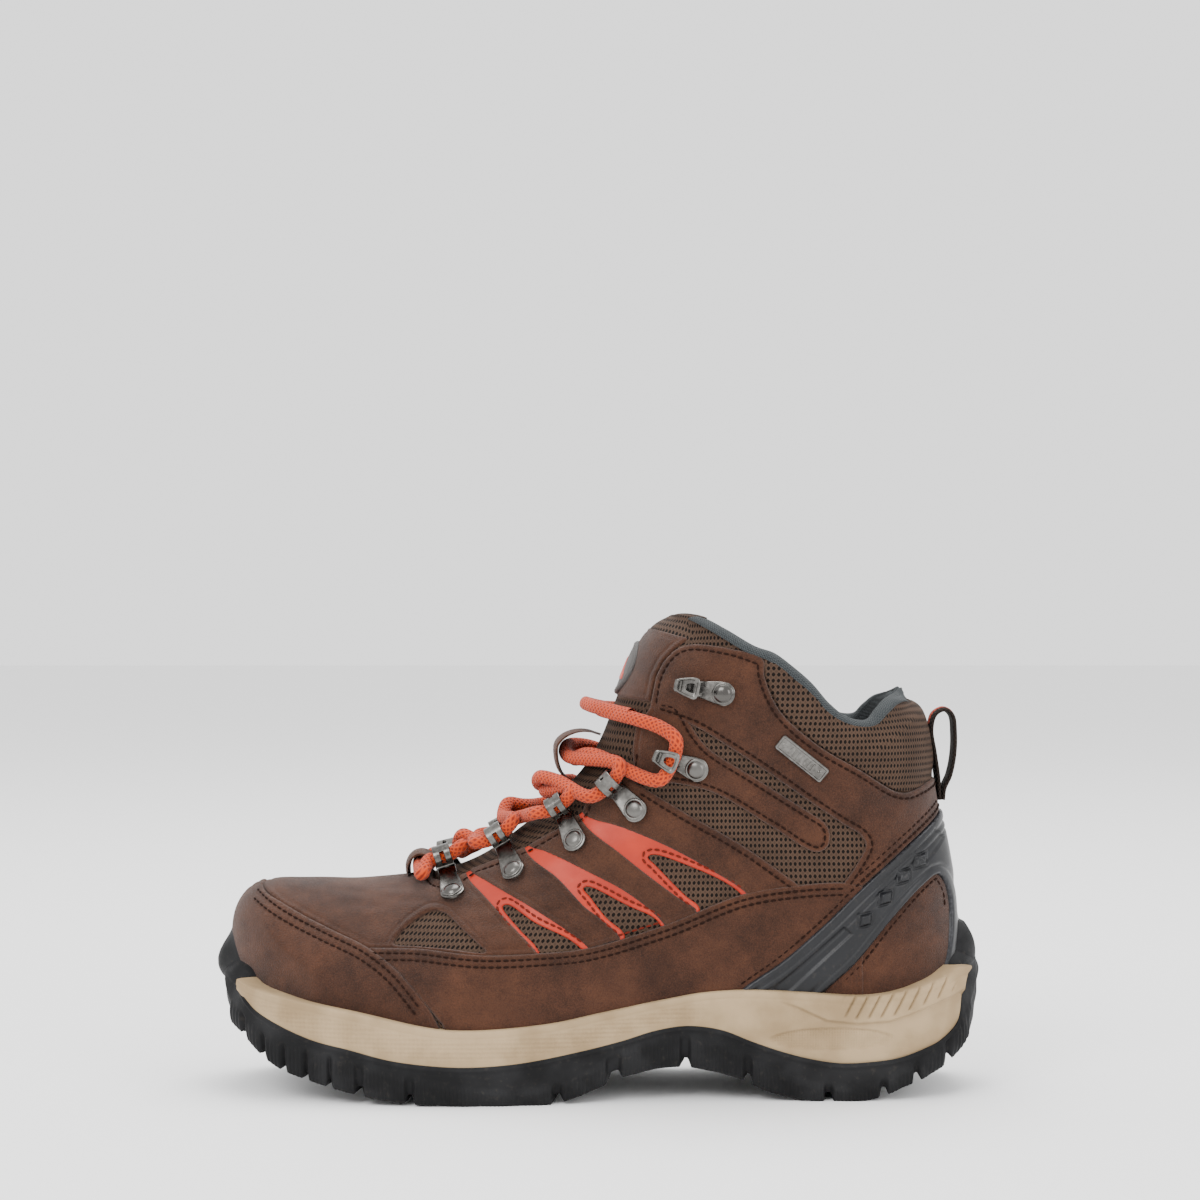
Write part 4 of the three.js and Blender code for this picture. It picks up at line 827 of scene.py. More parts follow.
def grid_faces(rows: int, columns: int, closed: bool = False, flip: bool = False) -> Array:
    """Faces of a grid of points.

    Args:
        rows: Number of rows of points.
        columns: Number of points in a row.
        closed: Whether each row meets its own start.
        flip: Whether the faces look the other way.

    Returns:
        Corner numbers, four to a face.
    """
    r, c = np.meshgrid(np.arange(rows - 1), np.arange(columns if closed else columns - 1), indexing="ij")
    right = (c + 1) % columns
    faces = np.stack([r * columns + c, (r + 1) * columns + c, (r + 1) * columns + right,
        r * columns + right], -1)
    faces = faces.reshape(-1, 4)
    return faces[:, ::-1].copy() if flip else faces


def merge(parts: Sequence[tuple[Array, Array]]) -> tuple[Array, Array]:
    """Several meshes as one.

    Args:
        parts: Points and faces of each mesh.

    Returns:
        Points and faces of the joined mesh.
    """
    start, points, faces = 0, [], []
    for p, f in parts:
        points.append(p)
        faces.append(np.asarray(f) + start)
        start += len(p)
    return np.vstack(points), np.vstack(faces)


def capped(points: Array, faces: Array, rings: int, count: int) -> tuple[Array, Array]:
    """Closes both ends of a swept section with quads that meet in its middle.

    Args:
        points: Points, ring after ring.
        faces: Faces between the rings.
        rings: Number of rings.
        count: Points in a ring.

    Returns:
        Points and faces with both ends closed.
    """
    more_points, more_faces = [points], [faces]
    total = len(points)
    for ring, flip in ((0, True), (rings - 1, False)):
        base = ring * count
        more_points.append(points[base:base + count].mean(0, keepdims=True))
        k = np.arange(0, count, 2)
        fan = np.stack([np.full(len(k), total), base + (k + 2) % count, base + (k + 1) % count, base + k], 1)
        more_faces.append(fan[:, ::-1] if flip else fan)
        total += 1
    return np.vstack(more_points), np.vstack(more_faces)


# ---------------------------------------------------------------- upper
def half_field(distance: Callable[[Array, Array], Array]) -> Array:
    """Signed distance from a side-view shape over the whole grid, the same on both sides.

    Args:
        distance: Signed distance at side-view places.

    Returns:
        The distance at every point of the grid.
    """
    half = LAST.columns // 2
    x, z = LAST.places[:, half:, 0], LAST.places[:, half:, 2]
    right = distance(x, z)
    back = distance(LAST.places[:, :1, 0], LAST.places[:, :1, 2])
    return np.concatenate([back, right[:, :0:-1], right], 1)


def area(outline: Outline) -> Array:
    """Signed distance field of a side-view outline, positive inside."""
    return half_field(lambda x, z: inside_distance(outline, x, z))


def soft(line: Outline, count: int = 60) -> list[tuple[float, float]]:
    """Open line smoothed."""
    return [tuple(p) for p in smooth_line(line, count)]


def soft_ring(line: Outline, count: int = 90) -> list[tuple[float, float]]:
    """Closed outline smoothed."""
    return [tuple(p) for p in smooth_line(line, count, closed=True)]


def side_mask(side: Optional[Side]) -> Array:
    """Columns of the grid on one side, or all of them.

    Args:
        side: The side, or None for both.

    Returns:
        True on the wanted columns.
    """
    mask = np.ones(LAST.columns, bool)
    if side is Side.LATERAL:
        mask[LAST.columns // 2:] = False
    elif side is Side.MEDIAL:
        mask[:LAST.columns // 2] = False
    return mask


def drape() -> Array:
    """Slight unevenness of the stretched leather over the grid, in millimetres.

    Returns:
        Height of the unevenness at every point of the grid.
    """
    u, v = LAST.cloth[..., 0], LAST.cloth[..., 1]
    slow = np.sin(u / 13 + 1.3 * np.sin(v / 17)) * np.sin(v / 11 + 0.9 * np.sin(u / 19))
    quick = np.sin(u / 5.1 + v / 7.3) * np.sin(v / 6.1 - u / 8.7)
    return 0.2 * slow + 0.1 * quick


@dataclass
class Panel:
    """A sheet laid on the last inside a field of signed distance.

    Attributes:
        name: Piece name.
        field: Distance to the panel's edge over the grid, positive inside.
        top: Lift of its face over the skin, a number or a grid.
        depth: How far its cut edge goes down.
        finish: Its look.
        nodes: CAD nodes it stands for.
        side: The side it is on, if only one.
        rounding: Radius of its edge.
        stitch_at: Distances from the edge where thread pulls it down.
        body: The body it rides on.
        inward: Whether it faces into the boot.
    """

    name: str
    field: Array
    top: Array | float
    depth: float
    finish: Finish
    nodes: tuple[str, ...] = ()
    side: Optional[Side] = None
    rounding: float = 0.8
    stitch_at: tuple[float, ...] = ()
    body: str = "boot"
    inward: bool = False
    uneven: bool = True

    def build(self) -> bpy.types.Object:
        """Makes the sheet's mesh and settles it on its body.

        Returns:
            The finished sheet.
        """
        d = self.field
        rows, columns = d.shape
        mean = (d[:-1] + d[1:] + np.roll(d[:-1], -1, 1) + np.roll(d[1:], -1, 1)) / 4
        keep = (mean > 0) & side_mask(self.side)[None, :]
        count = np.zeros((rows, columns), int)
        for part in (keep, np.roll(keep, 1, 1)):
            count[:-1] += part
            count[1:] += part
        possible = np.full((rows, columns), 4)
        possible[[0, -1]] = 2
        used = count > 0
        rim = used & (count < possible)
        numbers = np.full((rows, columns), -1)
        j, i = np.nonzero(used)
        numbers[j, i] = np.arange(len(j))
        shift_u, shift_v = self.snap(rim)
        turn = (i + shift_u[j, i]) / columns * 2 - 1
        height = (j + shift_v[j, i]) / (rows - 1)
        inner = np.where(rim, 0, np.maximum(d, 0))[j, i]
        top = np.broadcast_to(np.asarray(self.top, float), d.shape)[j, i]
        lift = top.copy()
        if self.uneven:
            lift += DRAPE[j, i]
        for at in self.stitch_at:
            lift -= 0.28 * np.exp(-(((inner - at) / 0.55) ** 2))
        share = 1 - np.minimum(inner / self.rounding, 1)
        lift -= self.rounding * (1 - np.sqrt(np.maximum(1 - share ** 2, 0)))
        points = LAST.point(turn, height, lift)
        cloth = LAST.read(LAST.fabric, np.clip(turn, -1, 1 - 2 / columns), height)
        faces = self.faces(keep, numbers)
        edges = self.edges(keep, numbers)
        rim_ids = np.unique(edges)
        low = np.full(len(j), -1)
        low[rim_ids] = len(j) + np.arange(len(rim_ids))
        down = -self.depth if not self.inward else self.depth
        under = LAST.point(turn[rim_ids], height[rim_ids], lift[rim_ids] + down)
        skirt = np.stack([edges[:, 1], edges[:, 0], low[edges[:, 0]], low[edges[:, 1]]], 1)
        faces = np.vstack([faces, skirt])
        if self.inward:
            faces = faces[:, ::-1].copy()
        uv = np.vstack([cloth, cloth[rim_ids] + (0, self.depth)])
        # edge: distance in from the rim, for edge wear; down the cut edge it goes negative, where the shader
        # paints shade.
        values = {"edge": np.r_[inner, np.full(len(rim_ids), -self.depth)]}
        span = uv[faces]
        seam = np.ptp(span[..., 0], axis=1) > 50
        span[seam, :, 0] = np.abs(span[seam, :, 0])
        obj = make_object(self.name, np.vstack([points, under]), faces, self.finish, span.reshape(-1, 2),
            values)
        return settle(obj, self.finish, *self.nodes, body=self.body)

    def snap(self, rim: Array) -> tuple[Array, Array]:
        """Moves in grid steps that put the rim on the edge line.

        Args:
            rim: Points of the grid along the rim.

        Returns:
            Steps round and up the skin.
        """
        d = self.field
        du = (np.roll(d, -1, 1) - np.roll(d, 1, 1)) / 2
        dv = np.gradient(d, axis=0)
        scale = (du / STEP_U) ** 2 + (dv / STEP_V) ** 2 + 1e-9
        u = np.where(rim, -d * du / STEP_U ** 2 / scale, 0)
        v = np.where(rim, -d * dv / STEP_V ** 2 / scale, 0)
        v[[0, -1]] = 0
        size = np.maximum(np.maximum(np.abs(u), np.abs(v)) / 1.1, 1)
        return u / size, v / size

    @staticmethod
    def faces(keep: Array, numbers: Array) -> Array:
        """Faces of the kept cells."""
        r, c = np.nonzero(keep)
        right = (c + 1) % numbers.shape[1]
        return np.stack([numbers[r, c], numbers[r + 1, c], numbers[r + 1, right], numbers[r, right]], 1)

    @staticmethod
    def edges(keep: Array, numbers: Array) -> Array:
        """Edges round the kept cells, each turned as its own cell turns.

        Args:
            keep: Kept cells of the grid.
            numbers: Number of each kept point.

        Returns:
            Pairs of point numbers.
        """
        padded = np.pad(keep, ((1, 1), (0, 0)))
        r, c = np.nonzero(keep & ~np.roll(keep, 1, 1))
        out = [np.stack([numbers[r, c], numbers[r + 1, c]], 1)]
        width = numbers.shape[1]
        r, c = np.nonzero(keep & ~padded[2:])
        out.append(np.stack([numbers[r + 1, c], numbers[r + 1, (c + 1) % width]], 1))
        r, c = np.nonzero(keep & ~np.roll(keep, -1, 1))
        out.append(np.stack([numbers[r + 1, (c + 1) % width], numbers[r, (c + 1) % width]], 1))
        r, c = np.nonzero(keep & ~padded[:-2])
        out.append(np.stack([numbers[r, (c + 1) % width], numbers[r, c]], 1))
        return np.vstack(out)


def steps() -> tuple[Array, Array]:
    """Length of a grid step round and up the skin, in millimetres.

    Returns:
        Step round the skin and step up it.
    """
    p = LAST.places
    u = np.linalg.norm(np.roll(p, -1, 1) - np.roll(p, 1, 1), axis=2) / 2
    v = np.linalg.norm(np.gradient(p, axis=0), axis=2)
    return np.maximum(u, 1e-3), np.maximum(v, 1e-3)


STEP_U, STEP_V = steps()
DRAPE = drape()


MUD_ZONE = (*MUD_EDGE, (102, 0), (-90, 0))


@dataclass(frozen=True)
class Seam:
    """A row of stitches along a side-view line.

    Attributes:
        line: The line.
        offset: How far to its left the row lies.
        lift: Height of the thread over the skin.
        finish: Look of the thread.
    """

    line: tuple[tuple[float, float], ...]
    offset: float
    lift: float
    finish: Finish = THREAD


def turning(outline: Outline) -> int:
    """Side of a closed outline that its outside is on, 1 for left."""
    p = np.asarray(outline, float)
    q = np.roll(p, -1, axis=0)
    return -1 if (p[:, 0] * q[:, 1] - q[:, 0] * p[:, 1]).sum() > 0 else 1


@dataclass
class Stitching:
    """All the stitches of the upper, gathered by thread."""

    pitch: float = 2.9
    length: float = 2.2
    radius: float = 0.42
    places: dict[Finish, list[tuple[Array, Array, Array]]] = field(default_factory=dict)

    def row(self, seam: Seam, side: Side) -> None:
        """Adds one row of stitches on one side.

        Args:
            seam: Line and depth of the row.
            side: Side of the boot.
        """
        line = offset_line(smooth_line(seam.line, 240), seam.offset)
        turn, height = LAST.locate(line[:, 0], line[:, 1], side.value)
        x, z = LAST.side_place(np.abs(turn), height)
        good = np.hypot(x - line[:, 0], z - line[:, 1]) < 0.4
        if seam.finish is RED_THREAD:
            good &= inside_distance(MUD_ZONE, x, z) < -1.2
        if good.sum() < 4:
            return
        turn, height = turn[good], height[good]
        points = LAST.point(turn, height, np.full(len(turn), seam.lift))
        self.follow(points, LAST.read(LAST.normals, turn, height), seam.finish)

    def follow(self, points: Array, normals: Array, finish: Finish) -> None:
        """Adds stitches at an even pitch along a line in space.

        Args:
            points: Points of the line.
            normals: Skin normals at the points.
            finish: Finish of the thread.
        """
        run = np.r_[0, np.cumsum(np.linalg.norm(np.diff(points, axis=0), axis=1))]
        at = np.arange(self.pitch, run[-1] - self.pitch / 2, self.pitch)
        if len(at) < 2:
            return
        middle = np.stack([np.interp(at, run, points[:, k]) for k in range(3)], 1)
        ahead = np.stack([np.interp(at + 0.5, run, points[:, k]) for k in range(3)], 1)
        up = np.stack([np.interp(at, run, normals[:, k]) for k in range(3)], 1)
        self.places.setdefault(finish, []).append((middle, ahead - middle, up))

    def build(self) -> None:
        """Makes one mesh for each thread."""
        rings, sides = 5, 6
        angle = np.linspace(0, 2 * np.pi, sides, endpoint=False)
        along = np.linspace(-1, 1, rings)
        swell = np.sqrt(np.maximum(1 - (0.96 * along) ** 4, 0.05))
        bead = np.stack(
            [
                np.repeat(along * self.length / 2, sides),
                np.outer(swell, np.cos(angle)).ravel() * self.radius,
                np.outer(swell, np.sin(angle)).ravel() * self.radius,
            ],
            1,
        )
        faces = grid_faces(rings, sides, closed=True, flip=True)
        for finish, rows in self.places.items():
            middle, ahead, up = (np.vstack([row[k] for row in rows]) for k in range(3))
            ahead = ahead / (np.linalg.norm(ahead, axis=1, keepdims=True) + 1e-12)
            wide = np.cross(up, ahead)
            wide /= np.linalg.norm(wide, axis=1, keepdims=True) + 1e-12
            up = np.cross(ahead, wide)
            frame_of = np.stack([ahead, wide, up], 1)
            points = middle[:, None] + np.einsum("bk,nkd->nbd", bead, frame_of)
            shift = np.arange(len(middle))[:, None, None] * len(bead)
            uv = np.tile(bead[:, :2], (len(middle), 1))
            name = f"stitches_{finish.name}"
            obj = make_object(name, points.reshape(-1, 3), (faces[None] + shift).reshape(-1, 4), finish, uv)
            settle(obj, finish)


@dataclass
class Upper:
    """The panels, mesh, collar and stitching of the upper."""

    stitching: Stitching = field(default_factory=Stitching)

    def __post_init__(self) -> None:
        """Reads every outline into a distance field."""
        self.toe_line = soft(TOE_SEAM)
        self.mud_line = soft(MUD_EDGE)
        self.cage_line = soft(CAGE_EDGE)
        self.inner_line = soft(CAGE_INNER)
        self.throat = area(THROAT)
        self.toe = area([*self.toe_line, (-FAR, 24), (-FAR, 96)])
        self.rand = area([
            *self.mud_line, (102, 0), (-59, 0), (-60, 30), (-78, 50),
        ])
        self.cage = area([
            *self.cage_line, (FAR, 112), (FAR, 0), (132, 0), *reversed(self.inner_line), (82, 0), (50, 0),
        ])
        self.heel = area([*self.inner_line, (132, 0), (82, 0)])
        self.flashes = [area(soft_ring(f)) for f in FLASHES]
        self.windows = [area(soft_ring(w)) for w in WINDOWS]
        self.front_window = area(soft_ring(FRONT_WINDOW))
        self.cuts = [area([*cut, (-FAR, 0), (-FAR, FAR)]) for cut in FINGER_CUTS]
        front = soft(QUARTER_FRONT, 120)
        self.quarter_line = front
        self.quarter = area([*front, (150, 90), *reversed(CAGE_EDGE[4:]), *soft(QUARTER_LOWER)])
        self.collar = area([*QUARTER_FRONT[6:], (FAR, 123), (FAR, FAR), (63, FAR)])
        self.finger = area(soft_ring(MIDDLE_FINGER))
        band = soft(BAND_UNDER_FINGER)
        self.lacing = area([
            *TOE_SEAM[:5], *MUD_EDGE[1:7], *reversed(band), *reversed(THROAT[1:9]), (-70, 110),
        ])

    def build(self) -> None:
        """Makes every piece of the upper."""
        self.base()
        self.overlays()
        self.quarters()
        self.heel_cage()
        self.collar_panel()
        self.seams()
        self.stitching.build()

    def base(self) -> None:
        """Open mesh that shows in the windows and along the ankle."""
        front = half_field(lambda x, z: x + 96)
        shown = np.minimum(front, -self.throat + 1.5)
        Panel("mesh_shell_cloth", shown, -1.0, 1.0, MESH_CLOTH, ("mesh_shell",)).build()

    def overlays(self) -> None:
        """Toe cap, vamp, eyestays, coral inserts and mudguard."""
        toe_top = 1.25
        Panel(
            "toe_cap_suede", self.toe, toe_top, 2.2, SUEDE, ("toe_cap",), stitch_at=(2.4, 5.2), rounding=0.9,
        ).build()
        open_skin = np.minimum(self.lacing + 0.4, -self.throat)
        open_skin = np.minimum(open_skin, -self.front_window)
        fingers = open_skin
        for flash in self.flashes:
            fingers = np.minimum(fingers, -flash)
        vamp = np.minimum(fingers, self.cuts[0])
        Panel("vamp_suede", vamp, 0.35, 1.6, SUEDE, ("vamp",), stitch_at=(2.2,)).build()
        for side in Side:
            for k in range(3):
                stay = np.minimum(fingers, -self.cuts[k])
                if k < 2:
                    stay = np.minimum(stay, self.cuts[k + 1])
                node = f"eyestay_{k + 2}_{side.word}"
                Panel(f"{node}_suede", stay, 0.35, 1.6, SUEDE, (node,), side, stitch_at=(2.2,)).build()
                film = np.minimum(self.flashes[k] + 0.8, -self.windows[k])
                film = np.minimum(film, -self.throat)
                node = f"insert_{k + 1}_{side.word}"
                Panel(f"{node}_film", film, -0.35, 0.9, INSERT, (node,), side, rounding=0.35).build()
            guard = np.minimum(self.rand, -self.toe + 3)
            guard = np.minimum(guard, -self.cage + 3)
            node = f"rand_{side.word}"
            Panel(
                f"{node}_suede", guard, 0.85, 1.9, SUEDE, (node,), side, stitch_at=(2.2, 4.6), rounding=0.9,
            ).build()

    def quarters(self) -> None:
        """Heel quarters and the finger that runs over the ankle mesh."""
        for side in Side:
            quarter = np.minimum(self.quarter, -self.rand + 2)
            quarter = np.minimum(quarter, -self.throat)
            node = f"quarter_{side.word}"
            Panel(
                f"{node}_suede", quarter, 0.6, 1.7, SUEDE, (node,), side, stitch_at=(2.2,), rounding=0.9,
            ).build()
            finger = np.minimum(self.finger, -self.throat)
            node = f"side_finger_{side.word}"
            Panel(f"{node}_suede", finger, 0.35, 1.5, SUEDE, (node,), side, stitch_at=(2.2,)).build()
            node = f"heel_panel_{side.word}"
            Panel(f"{node}_suede", self.heel + 2, 0.3, 1.4, SUEDE, (node,), side).build()

    def heel_cage(self) -> None:
        """Moulded heel support with its studs and channels."""
        top = np.full(self.cage.shape, 1.9)
        rib = np.exp(-(((self.cage - 3.4) / 0.8) ** 2))
        top = top - 0.55 * rib
        upper = half_field(lambda x, z: line_distance(np.asarray(self.cage_line), x, z))
        top = top - 0.5 * np.exp(-(((upper - 6.2) / 0.6) ** 2))
        for x, z in ((124.2, 90.8), (117.4, 85.1), (110.2, 77.0), (102.5, 68.7)):
            stud = half_field(lambda px, pz: self.diamond(px, pz, x, z, 4.3, 2.9))
            top = top + np.clip(stud / 1.4, 0, 1) * 1.3 - 0.5 * np.exp(-((stud / 0.5) ** 2))
        bar = [(97.6, 63.4), (94.2, 66.2), (66.2, 41.8), (71.4, 39.6)]
        inside = area(bar)
        top = top - 0.9 * ease((inside + 0.3) / 0.9)
        slot = area([(121.5, 93.6), (126.2, 89.2), (134.8, 98.6), (130.4, 102.8)])
        top = top - 0.7 * ease((slot + 0.3) / 0.9)
        Panel(
            "heel_cage_moulding", self.cage, top, 3.2, CAGE, ("heel_cage",), rounding=1.0, uneven=False,
        ).build()

    @staticmethod
    def diamond(x: Array, z: Array, at_x: float, at_z: float, long: float, wide: float) -> Array:
        """Signed distance from a stud that lies along the heel support.

        Args:
            x: X of the places.
            z: Z of the places.
            at_x: X of the stud's middle.
            at_z: Z of the stud's middle.
            long: Half length.
            wide: Half width.

        Returns:
            Distance of each place, positive inside.
        """
        slope = math.radians(48)
        u = (x - at_x) * math.cos(slope) + (z - at_z) * math.sin(slope)
        v = -(x - at_x) * math.sin(slope) + (z - at_z) * math.cos(slope)
        return (1 - np.abs(u) / long - np.abs(v) / wide) * wide

    def collar_panel(self) -> None:
        """Padded mesh round the ankle, under the rim of the collar."""
        shape = np.minimum(self.collar, -self.quarter + 2)
        from_top = LAST.cloth[-1:, :, 1] - LAST.cloth[..., 1]
        puff = 1.7 * ease(np.minimum(np.maximum(shape, 0), from_top + 3) / 10)
        Panel("collar_mesh_cloth", shape, puff - 0.3, 1.6, MESH_CLOTH, ("collar_mesh",), rounding=0.6).build()

    def seams(self) -> None:
        """Rows of thread along the edges of the panels."""
        rows = [
            Seam(tuple(TOE_SEAM[1:7]), -2.4, 1.2), Seam(tuple(TOE_SEAM[1:7]), -5.2, 1.2),
            Seam(tuple(MUD_EDGE[:9]), -2.2, 0.8), Seam(tuple(MUD_EDGE[:9]), -4.6, 0.8),
            Seam(tuple(CAGE_EDGE[1:8]), 2.0, 0.75), Seam(tuple(CAGE_EDGE[4:8]), 4.4, 0.6),
            Seam(tuple(QUARTER_FRONT[:7]), -2.4, 0.6), Seam(tuple(QUARTER_FRONT[6:15]), -2.2, 0.6),
            Seam(tuple(QUARTER_LOWER), -2.2, 0.6), Seam(tuple(THROAT[1:13]), -2.2, 0.35),
            Seam(tuple(CAGE_INNER[1:8]), -2.0, 0.3), Seam(tuple(BAND_UNDER_FINGER[3:]), -2.2, 0.35),
        ]
        ring = tuple(MIDDLE_FINGER)
        rows.append(Seam(ring[4:], 2.0, 0.35))
        for window in WINDOWS:
            ring = tuple(smooth_line(window, 90, closed=True))
            outline = tuple(map(tuple, np.asarray(ring)))
            rows.append(Seam(outline, 1.9 * turning(window), -0.1, RED_THREAD))
        for seam in rows:
            for side in Side:
                self.stitching.row(seam, side)


@dataclass
class Lining:
    """Padded rim of the collar, the lining inside it, and the footbed."""

    thick: float = 6.5
    arc: int = 14

    def build(self) -> None:
        """Makes the inner wall, the rim and the footbed."""
        throat = area(THROAT)
        wall = np.minimum(-throat - 3.5, half_field(lambda x, z: 0 * x + 50))
        pad = 0.8 * np.sin(np.clip(LAST.cloth[..., 1] / 14, 0, 40))
        Panel(
            "lining_wall", wall, -self.thick + 0.2 * pad, 2.6, LINING, ("collar_lining",), inward=True,
            rounding=0.4, uneven=False,
        ).build()
        self.rim(throat[-1])
        self.footbed()

    def rim(self, throat: Array) -> None:
        """Rolled edge round the mouth of the boot.

        Args:
            throat: Distance inside the throat's outline, along the top edge.
        """
        open_from = np.abs(np.linspace(-1, 1, LAST.columns, endpoint=False)[throat > 0]).max()
        turn = np.linspace(open_from + 0.01, 2 - open_from - 0.01, 700)
        turn = np.where(turn > 1, turn - 2, turn)
        top = LAST.point(turn, np.ones(len(turn)), np.zeros(len(turn)))
        below = LAST.point(turn, np.full(len(turn), 0.985), np.zeros(len(turn)))
        up = top - below
        up /= np.linalg.norm(up, axis=1, keepdims=True)
        normal = LAST.read(LAST.normals, turn, np.ones(len(turn)))
        half = self.thick / 2
        angle = np.linspace(-0.5, math.pi + 0.5, self.arc + 6)
        points, uv = [], []
        run = np.r_[0, np.cumsum(np.linalg.norm(np.diff(top, axis=0), axis=1))]
        for a in angle:
            lean = half * math.cos(a) + (0.5 if math.cos(a) > 0 else 0)
            points.append(top + normal * (lean - half) + up * (2.6 * math.sin(a) - 0.6))
            uv.append(np.stack([run, np.full(len(run), a * half)], 1))
        grid = np.array(points)
        faces = grid_faces(len(angle), len(turn), flip=True)
        obj = make_object("collar_rim", grid.reshape(-1, 3), faces, LINING, np.vstack(uv))
        settle(obj, LINING)

    def footbed(self) -> None:
        """Cupped footbed over the insole board."""
        turn = np.linspace(0.012, 0.988, 220)
        floor = np.full(len(turn), 0.075)
        outer = LAST.point(-turn, floor, np.full(len(turn), -self.thick + 0.3))
        inner = LAST.point(turn, floor, np.full(len(turn), -self.thick + 0.3))
        share = np.linspace(0, 1, 60)
        grid = outer[:, None] * (1 - share[None, :, None]) + inner[:, None] * share[None, :, None]
        grid[..., 2] -= 2.2 * (1 - (2 * share[None, :] - 1) ** 6)
        faces = grid_faces(len(turn), len(share))
        uv = grid[..., :2].reshape(-1, 2)
        obj = make_object("footbed_cover", grid.reshape(-1, 3), faces, FOOTBED, uv)
        settle(obj, FOOTBED, "footbed")


@dataclass
class Tongue:
    """Padded tongue, its suede face, its patch, and the straps that hold the lace."""

    outer: float = -1.3
    inner: float = -6.6

    def build(self) -> None:
        """Makes the tongue's pieces."""
        self.sleeve()
        upper = half_field(lambda x, z: z - 155 + 0.1 * x)
        top = half_field(lambda x, z: 181.5 - z - 0.25 * (x - 21.5))
        throat = area(THROAT)
        face = np.minimum(np.minimum(throat - 0.6, upper), top)
        Panel(
            "tongue_face_suede", face, -0.1, 1.4, SUEDE, ("tongue_face",), body="tongue_top",
            stitch_at=(2.0,),
        ).build()
        self.badge()
        self.keepers()

    def sleeve(self) -> None:
        """Soft body of the tongue, in one piece, rolled over at its top."""
        throat = area(THROAT)
        rows = np.unique(np.r_[np.linspace(0.30, 0.94, 150), np.linspace(0.94, 1, 20)])
        across = np.linspace(-1, 1, 90)
        turns = np.linspace(-1, 1, LAST.columns, endpoint=False)
        half_turn = []
        for row in range(LAST.rows):
            inside = throat[row] > -3.2
            half_turn.append(np.abs(turns[inside]).max() if inside.any() else 0)
        half_turn = np.interp(rows, np.linspace(0, 1, LAST.rows), half_turn)
        first = np.argmax(half_turn > 0.02)
        rows, half_turn = rows[first:], half_turn[first:]
        loops, uvs = [], []
        roll = np.linspace(0, math.pi / 2, 9)[1:]
        stations = [(h, w, 1.0, 0.0) for h, w in zip(rows, half_turn)]
        stations += [(1.0, half_turn[-1] * (1 - 0.04 * math.sin(a)), math.cos(a), math.sin(a)) for a in roll]
        middle, half = (self.outer + self.inner) / 2, (self.outer - self.inner) / 2
        for height, width, open_share, rise in stations:
            turn = across * width
            level = np.full(len(turn), height)
            puff = 0.7 * (1 - across ** 2)
            outer = LAST.point(turn, level, middle + (half + puff) * open_share)
            inner = LAST.point(turn, level, middle - half * open_share * (1 - across ** 8 * 0.8))
            up = LAST.point(turn, np.ones(len(turn)), np.zeros(len(turn)))
            up = up - LAST.point(turn, np.full(len(turn), 0.98), np.zeros(len(turn)))
            up /= np.linalg.norm(up, axis=1, keepdims=True)
            lift = up * 2.6 * rise
            loops.append(np.vstack([outer + lift, (inner + lift)[::-1]]))
            run = np.r_[0, np.cumsum(np.linalg.norm(np.diff(outer, axis=0), axis=1))]
            along = height * 190 + rise * 3
            uvs.append(np.vstack([
                np.stack([run, np.full(len(run), along)], 1), np.stack([run[::-1],
                    np.full(len(run), along)], 1),
            ]))
        count = 2 * len(across)
        faces = grid_faces(len(loops), count, closed=True)
        obj = make_object("tongue_sleeve", np.vstack(loops), faces, MESH_CLOTH, np.vstack(uvs))
        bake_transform(obj)
        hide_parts("tongue_lower", "tongue_upper")

    def badge(self) -> None:
        """Oval patch with a plain coral peak on it."""
        p = LAST.places
        front = p[..., 0] < 40
        oval = (1 - np.sqrt((p[..., 1] / 15) ** 2 + ((p[..., 2] - 165.5) / 10.5) ** 2)) * 10.5
        oval = np.where(front, oval, -50)
        ring = 0.35 * np.exp(-(((oval - 1.2) / 0.45) ** 2))
        Panel(
            "tongue_patch_rubber", oval, 1.0 + ring, 1.2, PATCH, ("tongue_patch",), body="tongue_top",
            rounding=0.5, uneven=False,
        ).build()
        y, z = p[..., 1], p[..., 2] - 165.5
        peak = np.minimum(4.2 - np.abs(y) * 0.9 - z, z + np.abs(y) * 0.9 - 0.8)
        peak = np.minimum(peak, z + 4.6)
        other = np.minimum(np.minimum(-2.2 - z, z + 4.8), 8.5 - np.abs(y))
        mark = np.where(front, np.maximum(peak, other), -50)
        Panel(
            "tongue_patch_mark", mark, 1.35, 0.5, MARK, body="tongue_top", rounding=0.2, uneven=False,
        ).build()

    def keepers(self) -> None:
        """Two suede straps over the lace."""
        low = bar_middle()
        rise = OVER + BAR_LIFT + LACE / 2 + 0.6
        self.keeper("keeper_lower", low - 0.024, low + 0.024, rise)
        ring = LAST.locate(np.array(RINGS[3][1][0]), np.array(RINGS[3][1][1]), 1)[1]
        hook = LAST.locate(np.array(HOOKS[0][1][0]), np.array(HOOKS[0][1][1]), 1)[1]
        high = float(ring + hook) / 2
        self.keeper("keeper_upper", high - 0.045, high + 0.045, OVER + OVER_PASS + LACE / 2 + 0.6)

